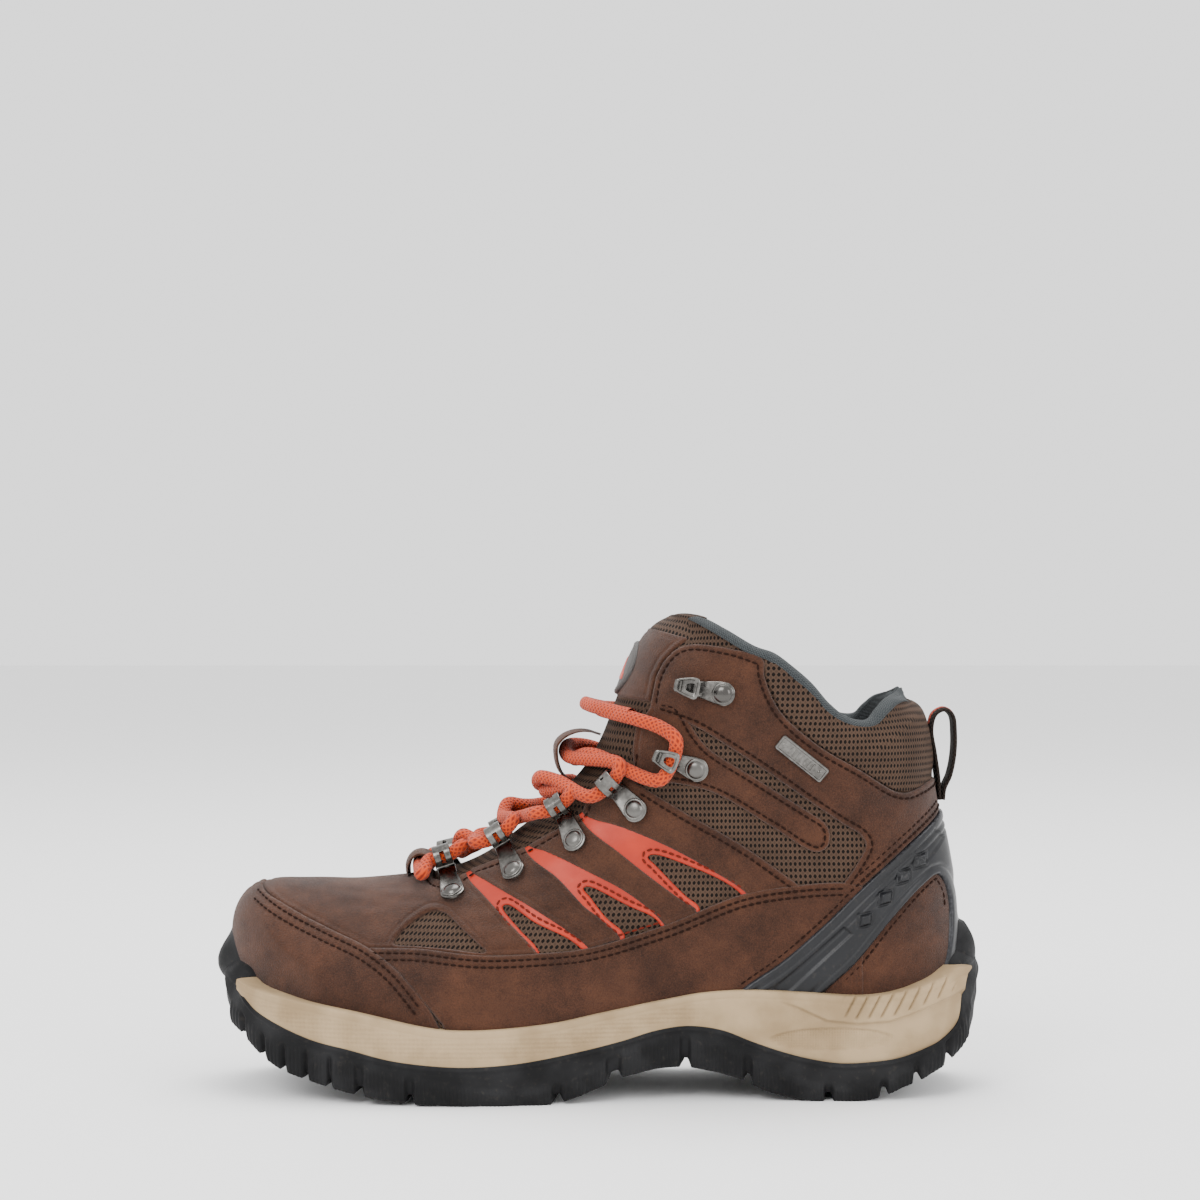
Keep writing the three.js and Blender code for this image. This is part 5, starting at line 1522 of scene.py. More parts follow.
    @staticmethod
    def keeper(name: str, low: float, high: float, rise: float) -> None:
        """One strap arched over the lace.

        Args:
            name: CAD node that the strap stands for.
            low: Height share of its lower end.
            high: Height share of its upper end.
            rise: How far it stands over the tongue.
        """
        rows, columns, half_turn, thick = 50, 24, 0.05, 1.5
        loops = []
        for share in np.linspace(0, 1, rows):
            level = low + share * (high - low)
            lift = 0.1 + rise * math.sin(math.pi * share) ** 0.4
            turn = half_turn * np.linspace(-1, 1, columns)
            at = np.full(columns, level)
            round_edge = 0.35 * np.abs(np.linspace(-1, 1, columns)) ** 10
            outer = LAST.point(turn, at, lift + thick - round_edge)
            inner = LAST.point(turn, at, lift + round_edge)
            loops.append(np.vstack([outer, inner[::-1]]))
        points = np.vstack(loops)
        faces = grid_faces(rows, 2 * columns, closed=True)
        obj = make_object(f"{name}_strap", points, faces, SUEDE, sharp=50)
        settle(obj, SUEDE, name)


# ---------------------------------------------------------------- fittings and lace
LACE = 5.5
SHEET = 1.0
RING_WIRE = 0.9
RING_RADIUS = LACE / 2 + 1 + RING_WIRE
RIVET_HEAD = 4.0
EYE_WIDTH = 6.0
HOOK_ROOM = LACE + 1.2
OVER = LACE / 2 + 0.7
UNDER_PASS = 0.6
OVER_PASS = UNDER_PASS + LACE + 0.5
BAR_LIFT = 1.1


def bar_middle() -> float:
    """Height share of the lace's lowest crossing."""
    front = LAST.front[:, 0]
    last = np.nonzero(front < -71)[0].max()
    return last / (len(front) - 1)


@dataclass
class Seat:
    """Place of a lace fitting on the skin.

    Attributes:
        rivet: Side-view place of its rivet.
        end: Side-view place of the end that carries the lace.
        side: The side it is on.
    """

    rivet: tuple[float, float]
    end: tuple[float, float]
    side: Side
    rise: float = 1.15

    def __post_init__(self) -> None:
        """Works out the fitting's own axes: long, wide and up."""
        turn0, height0 = LAST.locate(np.array(self.rivet[0]), np.array(self.rivet[1]), self.side.value)
        turn1, height1 = LAST.locate(np.array(self.end[0]), np.array(self.end[1]), self.side.value)
        self.turn, self.height = turn1, height1
        foot = LAST.point(turn0, height0, np.array(0.0))
        tip = LAST.point(turn1, height1, np.array(0.0))
        turn, height = (turn0 + turn1) / 2, (height0 + height1) / 2
        self.up = LAST.read(LAST.normals, turn, height)
        self.up = self.up / np.linalg.norm(self.up)
        long = tip - foot
        long = long - self.up * (long @ self.up)
        self.length = float(np.linalg.norm(long))
        self.long = long / self.length
        self.wide = np.cross(self.up, self.long)
        middle = LAST.point(turn, height, np.array(self.rise - 0.4))
        self.foot = foot + self.up * float((middle - foot) @ self.up)

    def place(self, points: Array) -> Array:
        """Points from the fitting's own axes into the boot's."""
        axes = np.stack([self.long, self.wide, self.up])
        return self.foot + np.asarray(points, float) @ axes


def strip(path: Array, thick: float, low: float, high: float, rounding: float = 0.18) -> tuple[Array, Array]:
    """Bent sheet metal: a path in the long-up plane, given thickness and width.

    Args:
        path: Points along the middle of the sheet, long and up.
        thick: Thickness.
        low: One edge, across.
        high: The other edge, across.
        rounding: Size of the broken edge.

    Returns:
        Points and faces.
    """
    r, t = rounding, thick / 2
    section = np.array([
        (low, -t + r), (low + r, -t), (high - r, -t), (high, -t + r),
        (high, t - r), (high - r, t), (low + r, t), (low, t - r),
    ])
    line = np.stack([path[:, 0], np.zeros(len(path)), path[:, 1]], 1)
    tangent = np.gradient(line, axis=0)
    tangent /= np.linalg.norm(tangent, axis=1, keepdims=True)
    normal = np.stack([-tangent[:, 2], tangent[:, 1], tangent[:, 0]], 1)
    points = line[:, None] + section[None, :, 1:] * normal[:, None]
    points[..., 1] = section[None, :, 0]
    points = points.reshape(-1, 3)
    faces = grid_faces(len(path), len(section), closed=True, flip=True)
    return capped(points, faces, len(path), len(section))


def lathe(profile: Array, sides: int = 40) -> tuple[Array, Array]:
    """Profile of radius and height turned round the up axis.

    Args:
        profile: Radius and height, from rim to middle.
        sides: Number of points round the axis.

    Returns:
        Points and faces of the turned shape.
    """
    angle = np.linspace(0, 2 * np.pi, sides, endpoint=False)
    points = np.stack(
        [
            np.outer(profile[:, 0], np.cos(angle)), np.outer(profile[:, 0], np.sin(angle)),
            np.repeat(profile[:, 1:], sides, 1),
        ],
        -1,
    )
    return points.reshape(-1, 3), grid_faces(len(profile), sides, closed=True, flip=True)


def plate(length: float, wide: float, narrow: float) -> tuple[Array, Array]:
    """Flat tear-drop plate with broken edges, from the rivet towards the lace.

    Args:
        length: Distance from the rivet to the far end.
        wide: Width at the rivet.
        narrow: Width at the far end.

    Returns:
        Points and faces of the plate.
    """
    start = math.pi / 2 + 0.25
    angle = np.linspace(start, 2 * math.pi - start, 30)
    arc = np.stack([wide * np.cos(angle), wide * np.sin(angle)], 1)
    neck = np.linspace(0, 1, 14)
    width = wide * 0.96 + (narrow - wide * 0.96) * ease(neck / 0.8)
    lower = np.stack([neck * length, -width], 1)
    upper = np.stack([neck[::-1] * length, width[::-1]], 1)
    outline = np.vstack([arc, lower[1:], upper[:-1]])
    middle = np.array([length * 0.3, 0])
    rings = []
    for inset, level in ((0.0, 0.0), (0.0, SHEET - 0.25), (0.25, SHEET), (1.1, SHEET), (1.4, SHEET - 0.12)):
        shrink = 1 - inset / wide
        ring = middle + (outline - middle) * shrink
        rings.append(np.column_stack([ring, np.full(len(ring), level)]))
    rings.append(np.tile([*middle, SHEET - 0.12], (len(outline), 1)))
    return np.vstack(rings), grid_faces(len(rings), len(outline), closed=True, flip=False)


DOME = np.array([
    (4.25, -0.1), (4.3, 0.25), (4.05, 0.5), (3.7, 0.55), (3.45, 0.5), (3.3, 0.62), (3.0, 1.0), (2.3, 1.38),
    (1.4, 1.6), (0.6, 1.68), (0.001, 1.7),
])


@dataclass
class Fittings:
    """Metal rings, hooks, rivets and the tag on the ankle."""

    def build(self) -> dict[str, Seat]:
        """Makes every fitting.

        Returns:
            The seats by fitting name, for the lace.
        """
        seats = {}
        for side in Side:
            for k, (rivet, end) in enumerate(RINGS, 1):
                name = f"ring_{k}_{side.word}"
                seats[name] = self.ring(name, Seat(rivet, end, side))
            for k, (rivet, end) in enumerate(HOOKS, 5):
                name = f"hook_{k}_{side.word}"
                seats[name] = self.hook(name, Seat(rivet, end, side))
        self.tag()
        return seats

    def ring(self, name: str, seat: Seat) -> Seat:
        """One ring: a plate folded into two prongs round the lace, under a domed rivet.

        Args:
            name: CAD node that the ring stands for.
            seat: Where it is fixed.

        Returns:
            The same seat.
        """
        centre = np.array([seat.length + RING_WIRE, RING_RADIUS])
        radius = RING_RADIUS - RING_WIRE / 2
        parts = [plate(seat.length - 0.5, RIVET_HEAD + 0.9, 3.6)]
        bend = np.linspace(-math.pi / 2 - 0.5, math.pi * 1.12, 40)
        loop = centre + radius * np.stack([np.cos(bend), np.sin(bend)], 1)
        for low, high in ((-3.4, -0.8), (0.8, 3.4)):
            parts.append(strip(loop, RING_WIRE, low, high))
        for first, last in ((-math.pi / 2 - 0.5, 0.1), (1.15, 2.2)):
            bend = np.linspace(first, last, 14)
            bridge = centre + radius * np.stack([np.cos(bend), np.sin(bend)], 1)
            parts.append(strip(bridge, RING_WIRE * 0.94, -1.2, 1.2, 0.1))
        points, faces = merge(parts)
        obj = make_object(f"{name}_metal", seat.place(points), faces, NICKEL, sharp=40)
        settle(obj, NICKEL, name)
        self.rivet(f"{name}_rivet", seat, SHEET)
        return seat

    @staticmethod
    def rivet(name: str, seat: Seat, level: float, *nodes: str) -> None:
        """Domed rivet head with a flat rim.

        Args:
            name: CAD node that the rivet stands for.
            seat: Where it is fixed.
            level: Height of its underside.
        """
        points, faces = lathe(DOME)
        points = points + (0, 0, level)
        radius = np.hypot(points[:, 0], points[:, 1])
        values = {"edge": np.where((radius > 3.6) & (radius < 4.2), 0.1, 2.0)}
        obj = make_object(f"{name}_head", seat.place(points), faces, NICKEL, values=values, sharp=50)
        if not nodes:
            nodes = (name,)
        settle(obj, NICKEL, *(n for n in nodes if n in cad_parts))

    def hook(self, name: str, seat: Seat) -> Seat:
        """One open hook: a plate that rises round the lace into a pierced, ridged head.

        Args:
            name: CAD node that the hook stands for.
            seat: Where it is fixed.

        Returns:
            The same seat.
        """
        inside = SHEET + HOOK_ROOM
        length = seat.length
        rise = np.linspace(-math.pi / 2, math.pi / 2, 24)
        middle = (SHEET / 2 + inside + SHEET / 2) / 2
        half = (inside + SHEET / 2 - SHEET / 2) / 2
        bend = np.stack([length + 1.2 + 0.42 * half * np.cos(rise), middle + half * np.sin(rise)], 1)
        start = np.array([[length - 3, SHEET / 2], [length - 1.5, SHEET / 2]])
        parts = [plate(length, RIVET_HEAD + 0.7, 3.1), strip(np.vstack([start, bend]), SHEET * 0.9, -2.3,
            2.3)]
        parts.append(self.head(length + 1.4, inside + SHEET / 2))
        for x in (2.2, 3.3, 4.4):
            ridge = np.array([[length + x - 0.3, inside + SHEET], [length + x + 0.3,
                inside + SHEET - 0.15 * x]])
            parts.append(strip(ridge, 0.7, -2.0, 2.0, 0.15))
        points, faces = merge(parts)
        obj = make_object(f"{name}_metal", seat.place(points), faces, NICKEL, sharp=40)
        settle(obj, NICKEL, name)
        self.rivet(f"{name}_crown", seat, SHEET)
        return seat

    @staticmethod
    def head(start: float, level: float) -> tuple[Array, Array]:
        """Rounded triangle with a hole and a ridge, on top of a hook.

        Args:
            start: Distance from the rivet.
            level: Height over the plate.

        Returns:
            Points and faces of the head.
        """
        corners = (
            (-6.2, -3.0), (-5.2, -4.1), (2.0, -2.7), (3.2, -2.1), (3.2, 2.1), (2.0, 2.7), (-5.2, 4.1),
            (-6.2, 3.0),
        )
        outline = smooth_line(corners, 49, closed=True)[:-1]
        inner = ((-4.6, -1.7), (-1.4, -1.2), (-0.8, 0), (-1.4, 1.2), (-4.6, 1.7), (-5.0, 0))
        hole = smooth_line(inner, 49, closed=True)[:-1]
        first = int(np.argmin(np.linalg.norm(hole - outline[0] * 0.4 - (-1.7, 0), axis=1)))
        hole = np.roll(hole, -first, axis=0)
        centre = np.array([-1.9, 0])
        rings = []
        for ring, z in (
            (hole, -0.4), (centre + (outline - centre) * 0.95, -0.45), (outline, -0.2), (outline, 0.4),
            (centre + (outline - centre) * 0.93, 0.65), (centre + (outline - centre) * 0.8, 0.65),
            (centre + (outline - centre) * 0.72, 0.3), (hole, 0.3), (hole, -0.4),
        ):
            rings.append(np.column_stack([ring + (start, 0), np.full(len(ring), level + z)]))
        return np.vstack(rings), grid_faces(len(rings), len(outline), closed=True, flip=False)

    @staticmethod
    def tag() -> None:
        """Plain brushed tag with a raised border and two pins."""
        seat = Seat((69.5, 138), (86.5, 124.5), Side.LATERAL)
        long, high, thick = 22.5, 6.4, 1.1
        middle = seat.length / 2
        rings = []
        for inset, level in ((0, -0.6), (0, thick - 0.2), (0.2, thick), (0.8, thick), (1.0, thick - 0.25)):
            a, b, r = long / 2 - inset, high / 2 - inset, max(1.0 - inset, 0.25)
            angle = np.linspace(0, 2 * np.pi, 40, endpoint=False)
            corner = np.stack([np.sign(np.cos(angle)) * (a - r), np.sign(np.sin(angle)) * (b - r)], 1)
            ring = corner + r * np.stack([np.cos(angle), np.sin(angle)], 1)
            rings.append(np.column_stack([ring + (middle, 0), np.full(len(ring), level)]))
        rings.append(np.tile([middle, 0, thick - 0.25], (40, 1)))
        parts = [(np.vstack(rings), grid_faces(len(rings), 40, closed=True, flip=True))]
        for x in (-8.6, 8.6):
            pin = np.array([(0.9, thick - 0.3), (0.9, thick + 0.05), (0.6, thick + 0.25),
                (0.001, thick + 0.3)])
            points, faces = lathe(pin, 20)
            parts.append((points + (middle + x, 0, 0), faces))
        for x in np.linspace(-5.4, 5.4, 7):
            line = np.array([[middle + x - 0.35, thick - 0.1], [middle + x + 0.35, thick - 0.1]])
            parts.append(strip(line, 0.35, -1.5, 1.5, 0.1))
        points, faces = merge(parts)
        obj = make_object("side_tag_metal", seat.place(points), faces, NICKEL, sharp=40)
        settle(obj, NICKEL, "side_tag")


@dataclass
class Lace:
    """One braided cord from end to end through every ring and hook."""

    seats: dict[str, Seat]
    steps: int = 3000
    sides: int = 20

    def stop(self, name: str) -> Array:
        """Middle of the lace where it runs through a fitting.

        Args:
            name: Fitting that holds the lace.

        Returns:
            Point in the middle of the lace.
        """
        seat = self.seats[name]
        if name.startswith("hook"):
            return seat.place([seat.length - 2.2, 0, SHEET + HOOK_ROOM / 2])
        return seat.place([seat.length + RING_WIRE, 0, RING_RADIUS])

    def through(self, name: str, approach: tuple[float, float]) -> list[Array]:
        """Points through a fitting, from its toe side to its heel side.

        Args:
            name: Fitting that holds the lace.
            approach: Distances at which the lace enters and leaves.

        Returns:
            Points in order.
        """
        seat = self.seats[name]
        centre = self.stop(name)
        heelward = seat.wide * math.copysign(1, seat.wide[0])
        near = EYE_WIDTH / 2 + 0.4
        steps_ = (approach, (-near, 0), (0, 0), (near, 0), (8.5, 1.6))
        return [centre + heelward * away + seat.long * ahead + seat.up * ahead * 0.7 for away,
            ahead in steps_]

    @staticmethod
    def over(start: tuple[float, float], end: tuple[float, float], lifts: Sequence[float]) -> list[Array]:
        """Points over the tongue between two places on opposite sides.

        Args:
            start: Turn and height of the first place.
            end: Turn and height of the second place.
            lifts: Heights over the skin at the quarters.

        Returns:
            Points in order.
        """
        out = []
        for k, lift in enumerate(lifts, 1):
            share = 0.5 + 0.6 * (k / (len(lifts) + 1) - 0.5)
            turn = start[0] + share * (end[0] - start[0])
            height = start[1] + share * (end[1] - start[1])
            out.append(LAST.point(np.array(turn), np.array(height), np.array(OVER + lift)))
        return out

    def strand(self, side: Side, lifts: Sequence[float], knot: Sequence[float]) -> list[Array]:
        """One half of the lace, from the lowest crossing to its tucked end.

        Args:
            side: Side on which the half starts.
            lifts: Heights over the skin at each crossing.
            knot: Heights over the skin at the tucked end.

        Returns:
            Points in order.
        """
        points, here = [], side
        for k in range(1, 5):
            name = f"ring_{k}_{here.word}"
            there = Side(-here.value)
            after = f"ring_{k + 1}_{there.word}" if k < 4 else f"hook_5_{there.word}"
            points += self.through(name, (-5.6, 0.2) if k == 1 else (-8.5, 1.6))
            a, b = self.seats[name], self.seats[after]
            points += self.over((float(a.turn), float(a.height)), (float(b.turn), float(b.height)), lifts)
            here = there
        points += self.through(f"hook_5_{here.word}", (-8.5, 1.6))
        route = [LAST.locate(np.array(x), np.array(z), here.value) for x, z in ((25.0, 143.0), (17.0, 145.5))]
        points += [LAST.point(t, h, np.array(OVER + UNDER_PASS)) for t, h in route]
        last = LAST.locate(np.array(14.5), np.array(147.0), -here.value)
        points += self.over(tuple(map(float, route[1])), tuple(map(float, last)), knot)
        points.append(LAST.point(*last, np.array(OVER)))
        return points

    def build(self) -> None:
        """Makes the cord with its braid standing proud."""
        under = (UNDER_PASS,) * 3
        above = (UNDER_PASS + 3, OVER_PASS, UNDER_PASS + 3)
        first = self.strand(Side.LATERAL, under, (UNDER_PASS, UNDER_PASS, 1))
        second = self.strand(Side.MEDIAL, above, above)
        bar = []
        for side in Side:
            turn, height = LAST.locate(np.array(-69.0), np.array(80.6), side.value)
            bar.append(LAST.point(turn, height, np.array(OVER + BAR_LIFT)))
        bar.insert(1, LAST.point(np.array(0.0), np.array(bar_middle()), np.array(OVER + BAR_LIFT)))
        path = space_curve(np.array(first[::-1] + bar + second), self.steps)
        tangent = np.gradient(path, axis=0)
        tangent /= np.linalg.norm(tangent, axis=1, keepdims=True)
        normal = carried_normals(tangent)
        wide = np.cross(tangent, normal)
        run = np.r_[0, np.cumsum(np.linalg.norm(np.diff(path, axis=0), axis=1))]
        turn = np.linspace(0, 1, self.sides + 1)
        angle = 2 * np.pi * turn
        flute = np.cos(3 * angle[None] + 0.9 * np.sin(run[:, None] / 17))
        slack = np.sin(run[:, None] / 9.3) * np.sin(run[:, None] / 4.1)
        radius = LACE / 2 * (0.985 + 0.035 * flute + 0.02 * slack)
        points = (
            path[:, None] + (radius * np.cos(angle))[..., None] * normal[:, None]
            + (radius * np.sin(angle))[..., None] * wide[:, None]
        )
        uv = np.stack([np.repeat(run, len(turn)), np.tile(turn / MM, len(run))], 1)
        faces = grid_faces(len(path), len(turn), flip=True)
        obj = make_object("lace_braid", points.reshape(-1, 3), faces, LACE_CORD, uv)
        settle(obj, LACE_CORD, "lace")
        LOG.info("lace length %.0f mm", run[-1])


def space_curve(points: Array, count: int) -> Array:
    """Centripetal curve through points in space, at even spacing."""
    return smooth_line(points, count)


def carried_normals(tangent: Array) -> Array:
    """Normals carried along a curve without twisting.

    Args:
        tangent: Directions along the curve.

    Returns:
        One unit normal for each direction.
    """
    normal = np.zeros_like(tangent)
    start = np.array([0.0, 0.0, 1.0])
    normal[0] = start - tangent[0] * (start @ tangent[0])
    normal[0] /= np.linalg.norm(normal[0])
    for k in range(1, len(tangent)):
        n = normal[k - 1] - tangent[k] * (normal[k - 1] @ tangent[k])
        normal[k] = n / np.linalg.norm(n)
    return normal


@dataclass
class PullLoop:
    """Webbing loop at the back of the collar, with a coral stripe on its outer face."""

    line: tuple[tuple[float, float], ...] = (
        (135.3, 113), (134.7, 122), (133.3, 132), (132, 141), (133.6, 147), (137.4, 148.9), (140.4, 146.6),
        (141.4, 139), (141, 130), (139.4, 122.5), (137.2, 117.5), (136.6, 113),
    )
    width: float = 13.0
    thick: float = 1.7

    def build(self) -> None:
        """Makes the band and its stripe."""
        line = smooth_line(self.line, 160)
        self.band("pull_loop_webbing", line, self.width, self.thick, 0.0, WEBBING, ("pull_loop",))
        self.band("pull_loop_stripe", line[62:150], 4.6, 0.4, self.thick / 2 + 0.05, STRIPE, ())

    def band(
        self, name: str, line: Array, width: float, thick: float, lift: float, finish: Finish,
        nodes: tuple[str, ...],
    ) -> None:
        """One strip of tape along a side-view line.

        Args:
            name: Name of the strip.
            line: Side-view line of its middle.
            width: Width across the boot.
            thick: Thickness of the tape.
            lift: Distance from the line.
            finish: Finish of the tape.
            nodes: CAD nodes that it stands for.
        """
        tangent = np.gradient(line, axis=0)
        tangent /= np.linalg.norm(tangent, axis=1, keepdims=True)
        outward = np.stack([-tangent[:, 1], tangent[:, 0]], 1)
        across = np.linspace(-1, 1, 22)
        half = thick / 2 * np.sqrt(1 - 0.9 * np.abs(across) ** 8)
        loops, uvs = [], []
        run = np.r_[0, np.cumsum(np.linalg.norm(np.diff(line, axis=0), axis=1))]
        for (x, z), (nx, nz), at in zip(line, outward, run):
            scallop = 0.12 * math.sin(at * 2 * math.pi / 1.7)
            y = across * (width / 2 + scallop * np.abs(across) ** 6)
            top = np.stack([x + nx * (lift + half), y, z + nz * (lift + half)], 1)
            low = np.stack([x + nx * (lift - half), y, z + nz * (lift - half)], 1)
            loops.append(np.vstack([top, low[::-1]]))
            v = np.full(len(across), at)
            uvs.append(np.vstack([np.stack([y, v], 1), np.stack([y[::-1], v], 1)]))
        faces = grid_faces(len(loops), 2 * len(across), closed=True)
        obj = make_object(name, np.vstack(loops), faces, finish, np.vstack(uvs), sharp=60)
        settle(obj, finish, *nodes, body="pull_tab")


# ---------------------------------------------------------------- sole
EDGE_LUGS = (
    (-146, -140), (-138.4, -131.6), (-130, -123), (-121.4, -114), (-112.4, -104.6), (-103, -93.5),
    (-90.5, -74),
    (-71, -18), (-14.5, 2.5), (8, 31), (34.6, 55.5), (58.5, 86.5), (89.5, 108), (110.5, 121), (123.5, 134),
    (136.5, 146),
)
CENTRE_LUGS = (
    (-136, -128), (-122, -106), (-100, -82), (-76, -58), (-52, -34), (-28, -12), (64, 80), (85, 101),
    (106, 120), (124, 134),
)


@dataclass
class SoleUnit:
    """Foam midsole and lugged rubber outsole."""

    around: int = 2200

    def __post_init__(self) -> None:
        """Reads the plan of the sole as one closed curve."""
        table = np.asarray(SOLE_PLAN, float)
        outline = np.vstack([table[:, (0, 1)], table[::-1][:, (0, 2)]])
        self.plan = smooth_line(outline, self.around + 1, closed=True)[:-1]
        tangent = np.roll(self.plan, -1, 0) - np.roll(self.plan, 1, 0)
        tangent /= np.linalg.norm(tangent, axis=1, keepdims=True)
        self.out = np.stack([tangent[:, 1], -tangent[:, 0]], 1)
        steps_ = np.linalg.norm(np.roll(self.plan, -1, 0) - self.plan, axis=1)
        self.run = np.r_[0, np.cumsum(steps_)[:-1]]
        self.sole = smooth_line(SOLE_LINE, 400)
        self.ground = smooth_line(GROUND_LINE, 400)
        self.feather = smooth_line(FEATHER_LINE, 300)

    @staticmethod
    def level(line: Array, x: Array) -> Array:
        """Height of a side-view line."""
        return np.interp(x, line[:, 0], line[:, 1])

    def build(self) -> None:
        """Makes the sole unit's pieces."""
        self.midsole()
        self.wall()
        self.tread()
        self.bumpers()

    def midsole(self) -> None:
        """Foam wall with its textured bands, its ledge and its cooling grooves."""
        keep = (self.plan[:, 0] > -142.5) & (self.plan[:, 0] < 145)
        x = self.plan[:, 0]
        low = self.level(self.sole, x) - 1.2
        high = self.level(self.feather, x) + 1.3
        high = np.maximum(high, low + 0.5)
        rows = 64
        share = np.linspace(0, 1, rows)
        z = low + share[:, None] * (high - low)
        push = -0.3 + 0.35 * np.sin(np.pi * np.clip(share, 0, 1))[:, None] + self.relief(x[None] + 0 * z, z)
        push = push + self.upper_reach() * ease((z - low) / (high - low))
        lip = np.clip((share - 0.94) / 0.06, 0, 1)[:, None]
        push = push - 0.5 * lip ** 2
        grid = [self.ring(push[r], z[r]) for r in range(rows)]
        for inward in (1.5, 4.0, 9.0):
            grid.append(self.ring(push[-1] - inward, z[-1] + 0.15))
        grid = np.array(grid)
        uv = np.stack([np.tile(self.run, len(grid)), np.repeat(np.arange(len(grid)) * 0.35, self.around)], 1)
        edge = np.full(grid.shape[:2], 3.0)
        edge[rows - 3:rows] = 0.3
        faces = grid_faces(len(grid), self.around, closed=True)
        centre = faces.reshape(-1, self.around, 4)[:, keep].reshape(-1, 4)
        obj = make_object("midsole_foam", grid.reshape(-1, 3), centre, FOAM, uv, {"edge": edge.ravel()})
        settle(obj, FOAM, "midsole")

    def upper_reach(self) -> Array:
        """How far the foam's top has to stand out to stay clear of the upper above it.

        Returns:
            Distance outward for each point of the plan.
        """
        places = LAST.places.reshape(-1, 3)
        near = places[places[:, 2] < self.level(self.feather, places[:, 0]) + 3]
        column = np.clip(np.round(near[:, 0]).astype(int) + 170, 0, 339)
        widest = np.zeros((2, 340))
        np.maximum.at(widest, ((near[:, 1] > 0).astype(int), column), np.abs(near[:, 1]))
        x, y = self.plan.T
        reach = widest[(y > 0).astype(int), np.round(x).astype(int) + 170]
        reach = np.clip((reach + 3.0 - np.abs(y)) * np.abs(self.out[:, 1]), 0, 3.5)
        kernel = np.hanning(41)
        padded = np.r_[reach[-20:], reach, reach[:20]]
        return np.convolve(padded, kernel / kernel.sum(), "valid") * ease((np.abs(self.out[:,
            1]) - 0.5) / 0.3)

    def ring(self, push: Array, z: Array) -> Array:
        """The plan moved outward by a distance, at a height."""
        moved = self.plan + self.out * np.asarray(push)[:, None]
        return np.column_stack([moved, z])

    def relief(self, x: Array, z: Array) -> Array:
        """Moulded relief of the midsole wall, in millimetres.

        Args:
            x: X of the places.
            z: Z of the places.

        Returns:
            Height of the relief at each place.
        """
        low = self.level(self.sole, x)
        hatch = np.sin((x + z) * np.pi / 1.7) * np.sin((x - z) * np.pi / 1.7)
        band = ease((x + 138) / 6) * ease((46 - x) / 18) * ease((z - low - 1.5) / 1.5)
        high = self.level(self.feather, x)
        band = band * ease((high - z - 1.8) / 1.2)
        relief = 0.2 * hatch * band
        relief = relief + 0.4 * np.exp(-(((high - z - 1.6) / 0.5) ** 2)) * -0.5
        ledge = np.interp(x, (60, 76.6, 87.4, 99, 111.8, 124.6, 131, 140),
            (41, 35.6, 30.6, 29.4, 30.2, 34.5, 36.8, 40))
        back = ease((x - 66) / 14)
        above = ease((z - ledge) / 1.2 + 0.5)
        relief = relief + back * (1.5 * above - 0.6)
        slant = x - 0.55 * (z - 36)
        groove = np.exp(-((np.abs((slant % 4.7) - 2.35) / 0.42) ** 2))
        zone = ease((x - 92) / 4) * ease((139 - x) / 4) * ease((z - ledge - 1.2) / 1.5)
        relief = relief - 1.25 * groove * zone
        oval = 1 - np.sqrt(((x - 89.5 - 0.3 * (z - 24)) / 24) ** 2 + ((z - 23.4) / 4.4) ** 2)
        inside = ease(oval / 0.12 + 0.3)
        dots = np.sin((x + z) * 2 * np.pi / 2.1) * np.sin((x - z) * 2 * np.pi / 2.1)
        return relief + inside * (-0.8 + 0.25 * dots)

    @staticmethod
    def solid_share(x: Array, intervals: Sequence[tuple[float, float]], soft_edge: float = 0.9) -> Array:
        """1 on the lugs and 0 in the grooves between them.

        Args:
            x: X of the places.
            intervals: Where each lug begins and ends.
            soft_edge: Length of a lug's sloping side.

        Returns:
            Share of lug at each place.
        """
        best = np.zeros(np.shape(x))
        for low, high in intervals:
            best = np.maximum(best, ease((x - low) / soft_edge + 0.5) * ease((high - x) / soft_edge + 0.5))
        return best

    def bottom(self, x: Array, lug: Array) -> Array:
        """Height of the tread for a share of lug."""
        ground = self.level(self.ground, x)
        room = np.clip((self.level(self.sole, x) - ground - 4.0) * 0.5, 0.8, 3.4)
        return ground + (1 - lug) * room

    def wall(self) -> None:
        """Side of the rubber, with its lugs standing out and finely ribbed."""
        x = self.plan[:, 0]
        lug = self.solid_share(x, EDGE_LUGS, 1.8)
        top = self.level(self.sole, x)
        low = self.bottom(x, lug)
        top = np.maximum(top, low + 1.5)
        rows = 46
        share = np.linspace(0, 1, rows)
        z = low + share[:, None] * (top - low)
        rise = self.level(self.ground, x) + 8.5 + 3.0 * np.sin(x / 21)
        body = 1 - ease((z - rise) / 3.5 + 0.5)
        ribs = 0.16 * np.sin(x * 2 * np.pi / 1.5) * body * lug
        facet = 0.7 * np.abs(np.sin((x + 0.75 * z) * np.pi / 15)) * body * ease((x + 96) / 6)
        push = 0.5 * lug * body - 1.2 * (1 - lug) * body + ribs + facet
        push = push - 1.1 * ((1 - share[:, None]) ** 6)
        ends = ease((-138 - x) / 8) + ease((x - 139) / 5)
        push = push - 3.2 * ends * share[:, None] ** 2
        rim = np.exp(-((((top - z) - 1.5) / 0.7) ** 2))
        push = push + 0.35 * rim
        grid = [self.ring(push[r], z[r]) for r in range(rows)]
        for inward in (0.9, 2.2, 4.0, 6.5, 10.0, 15.0):
            grid.append(self.ring(push[-1] - inward,
                z[-1] - 0.15 + ends * (inward * 1.3 - inward ** 2 * 0.035)))
        grid = np.array(grid)
        self.foot = grid[0]
        uv = np.stack([np.tile(self.run, len(grid)), np.repeat(np.arange(len(grid)) * 0.4, self.around)], 1)
        edge = np.full(grid.shape[:2], 3.0)
        edge[:2] = 0.2
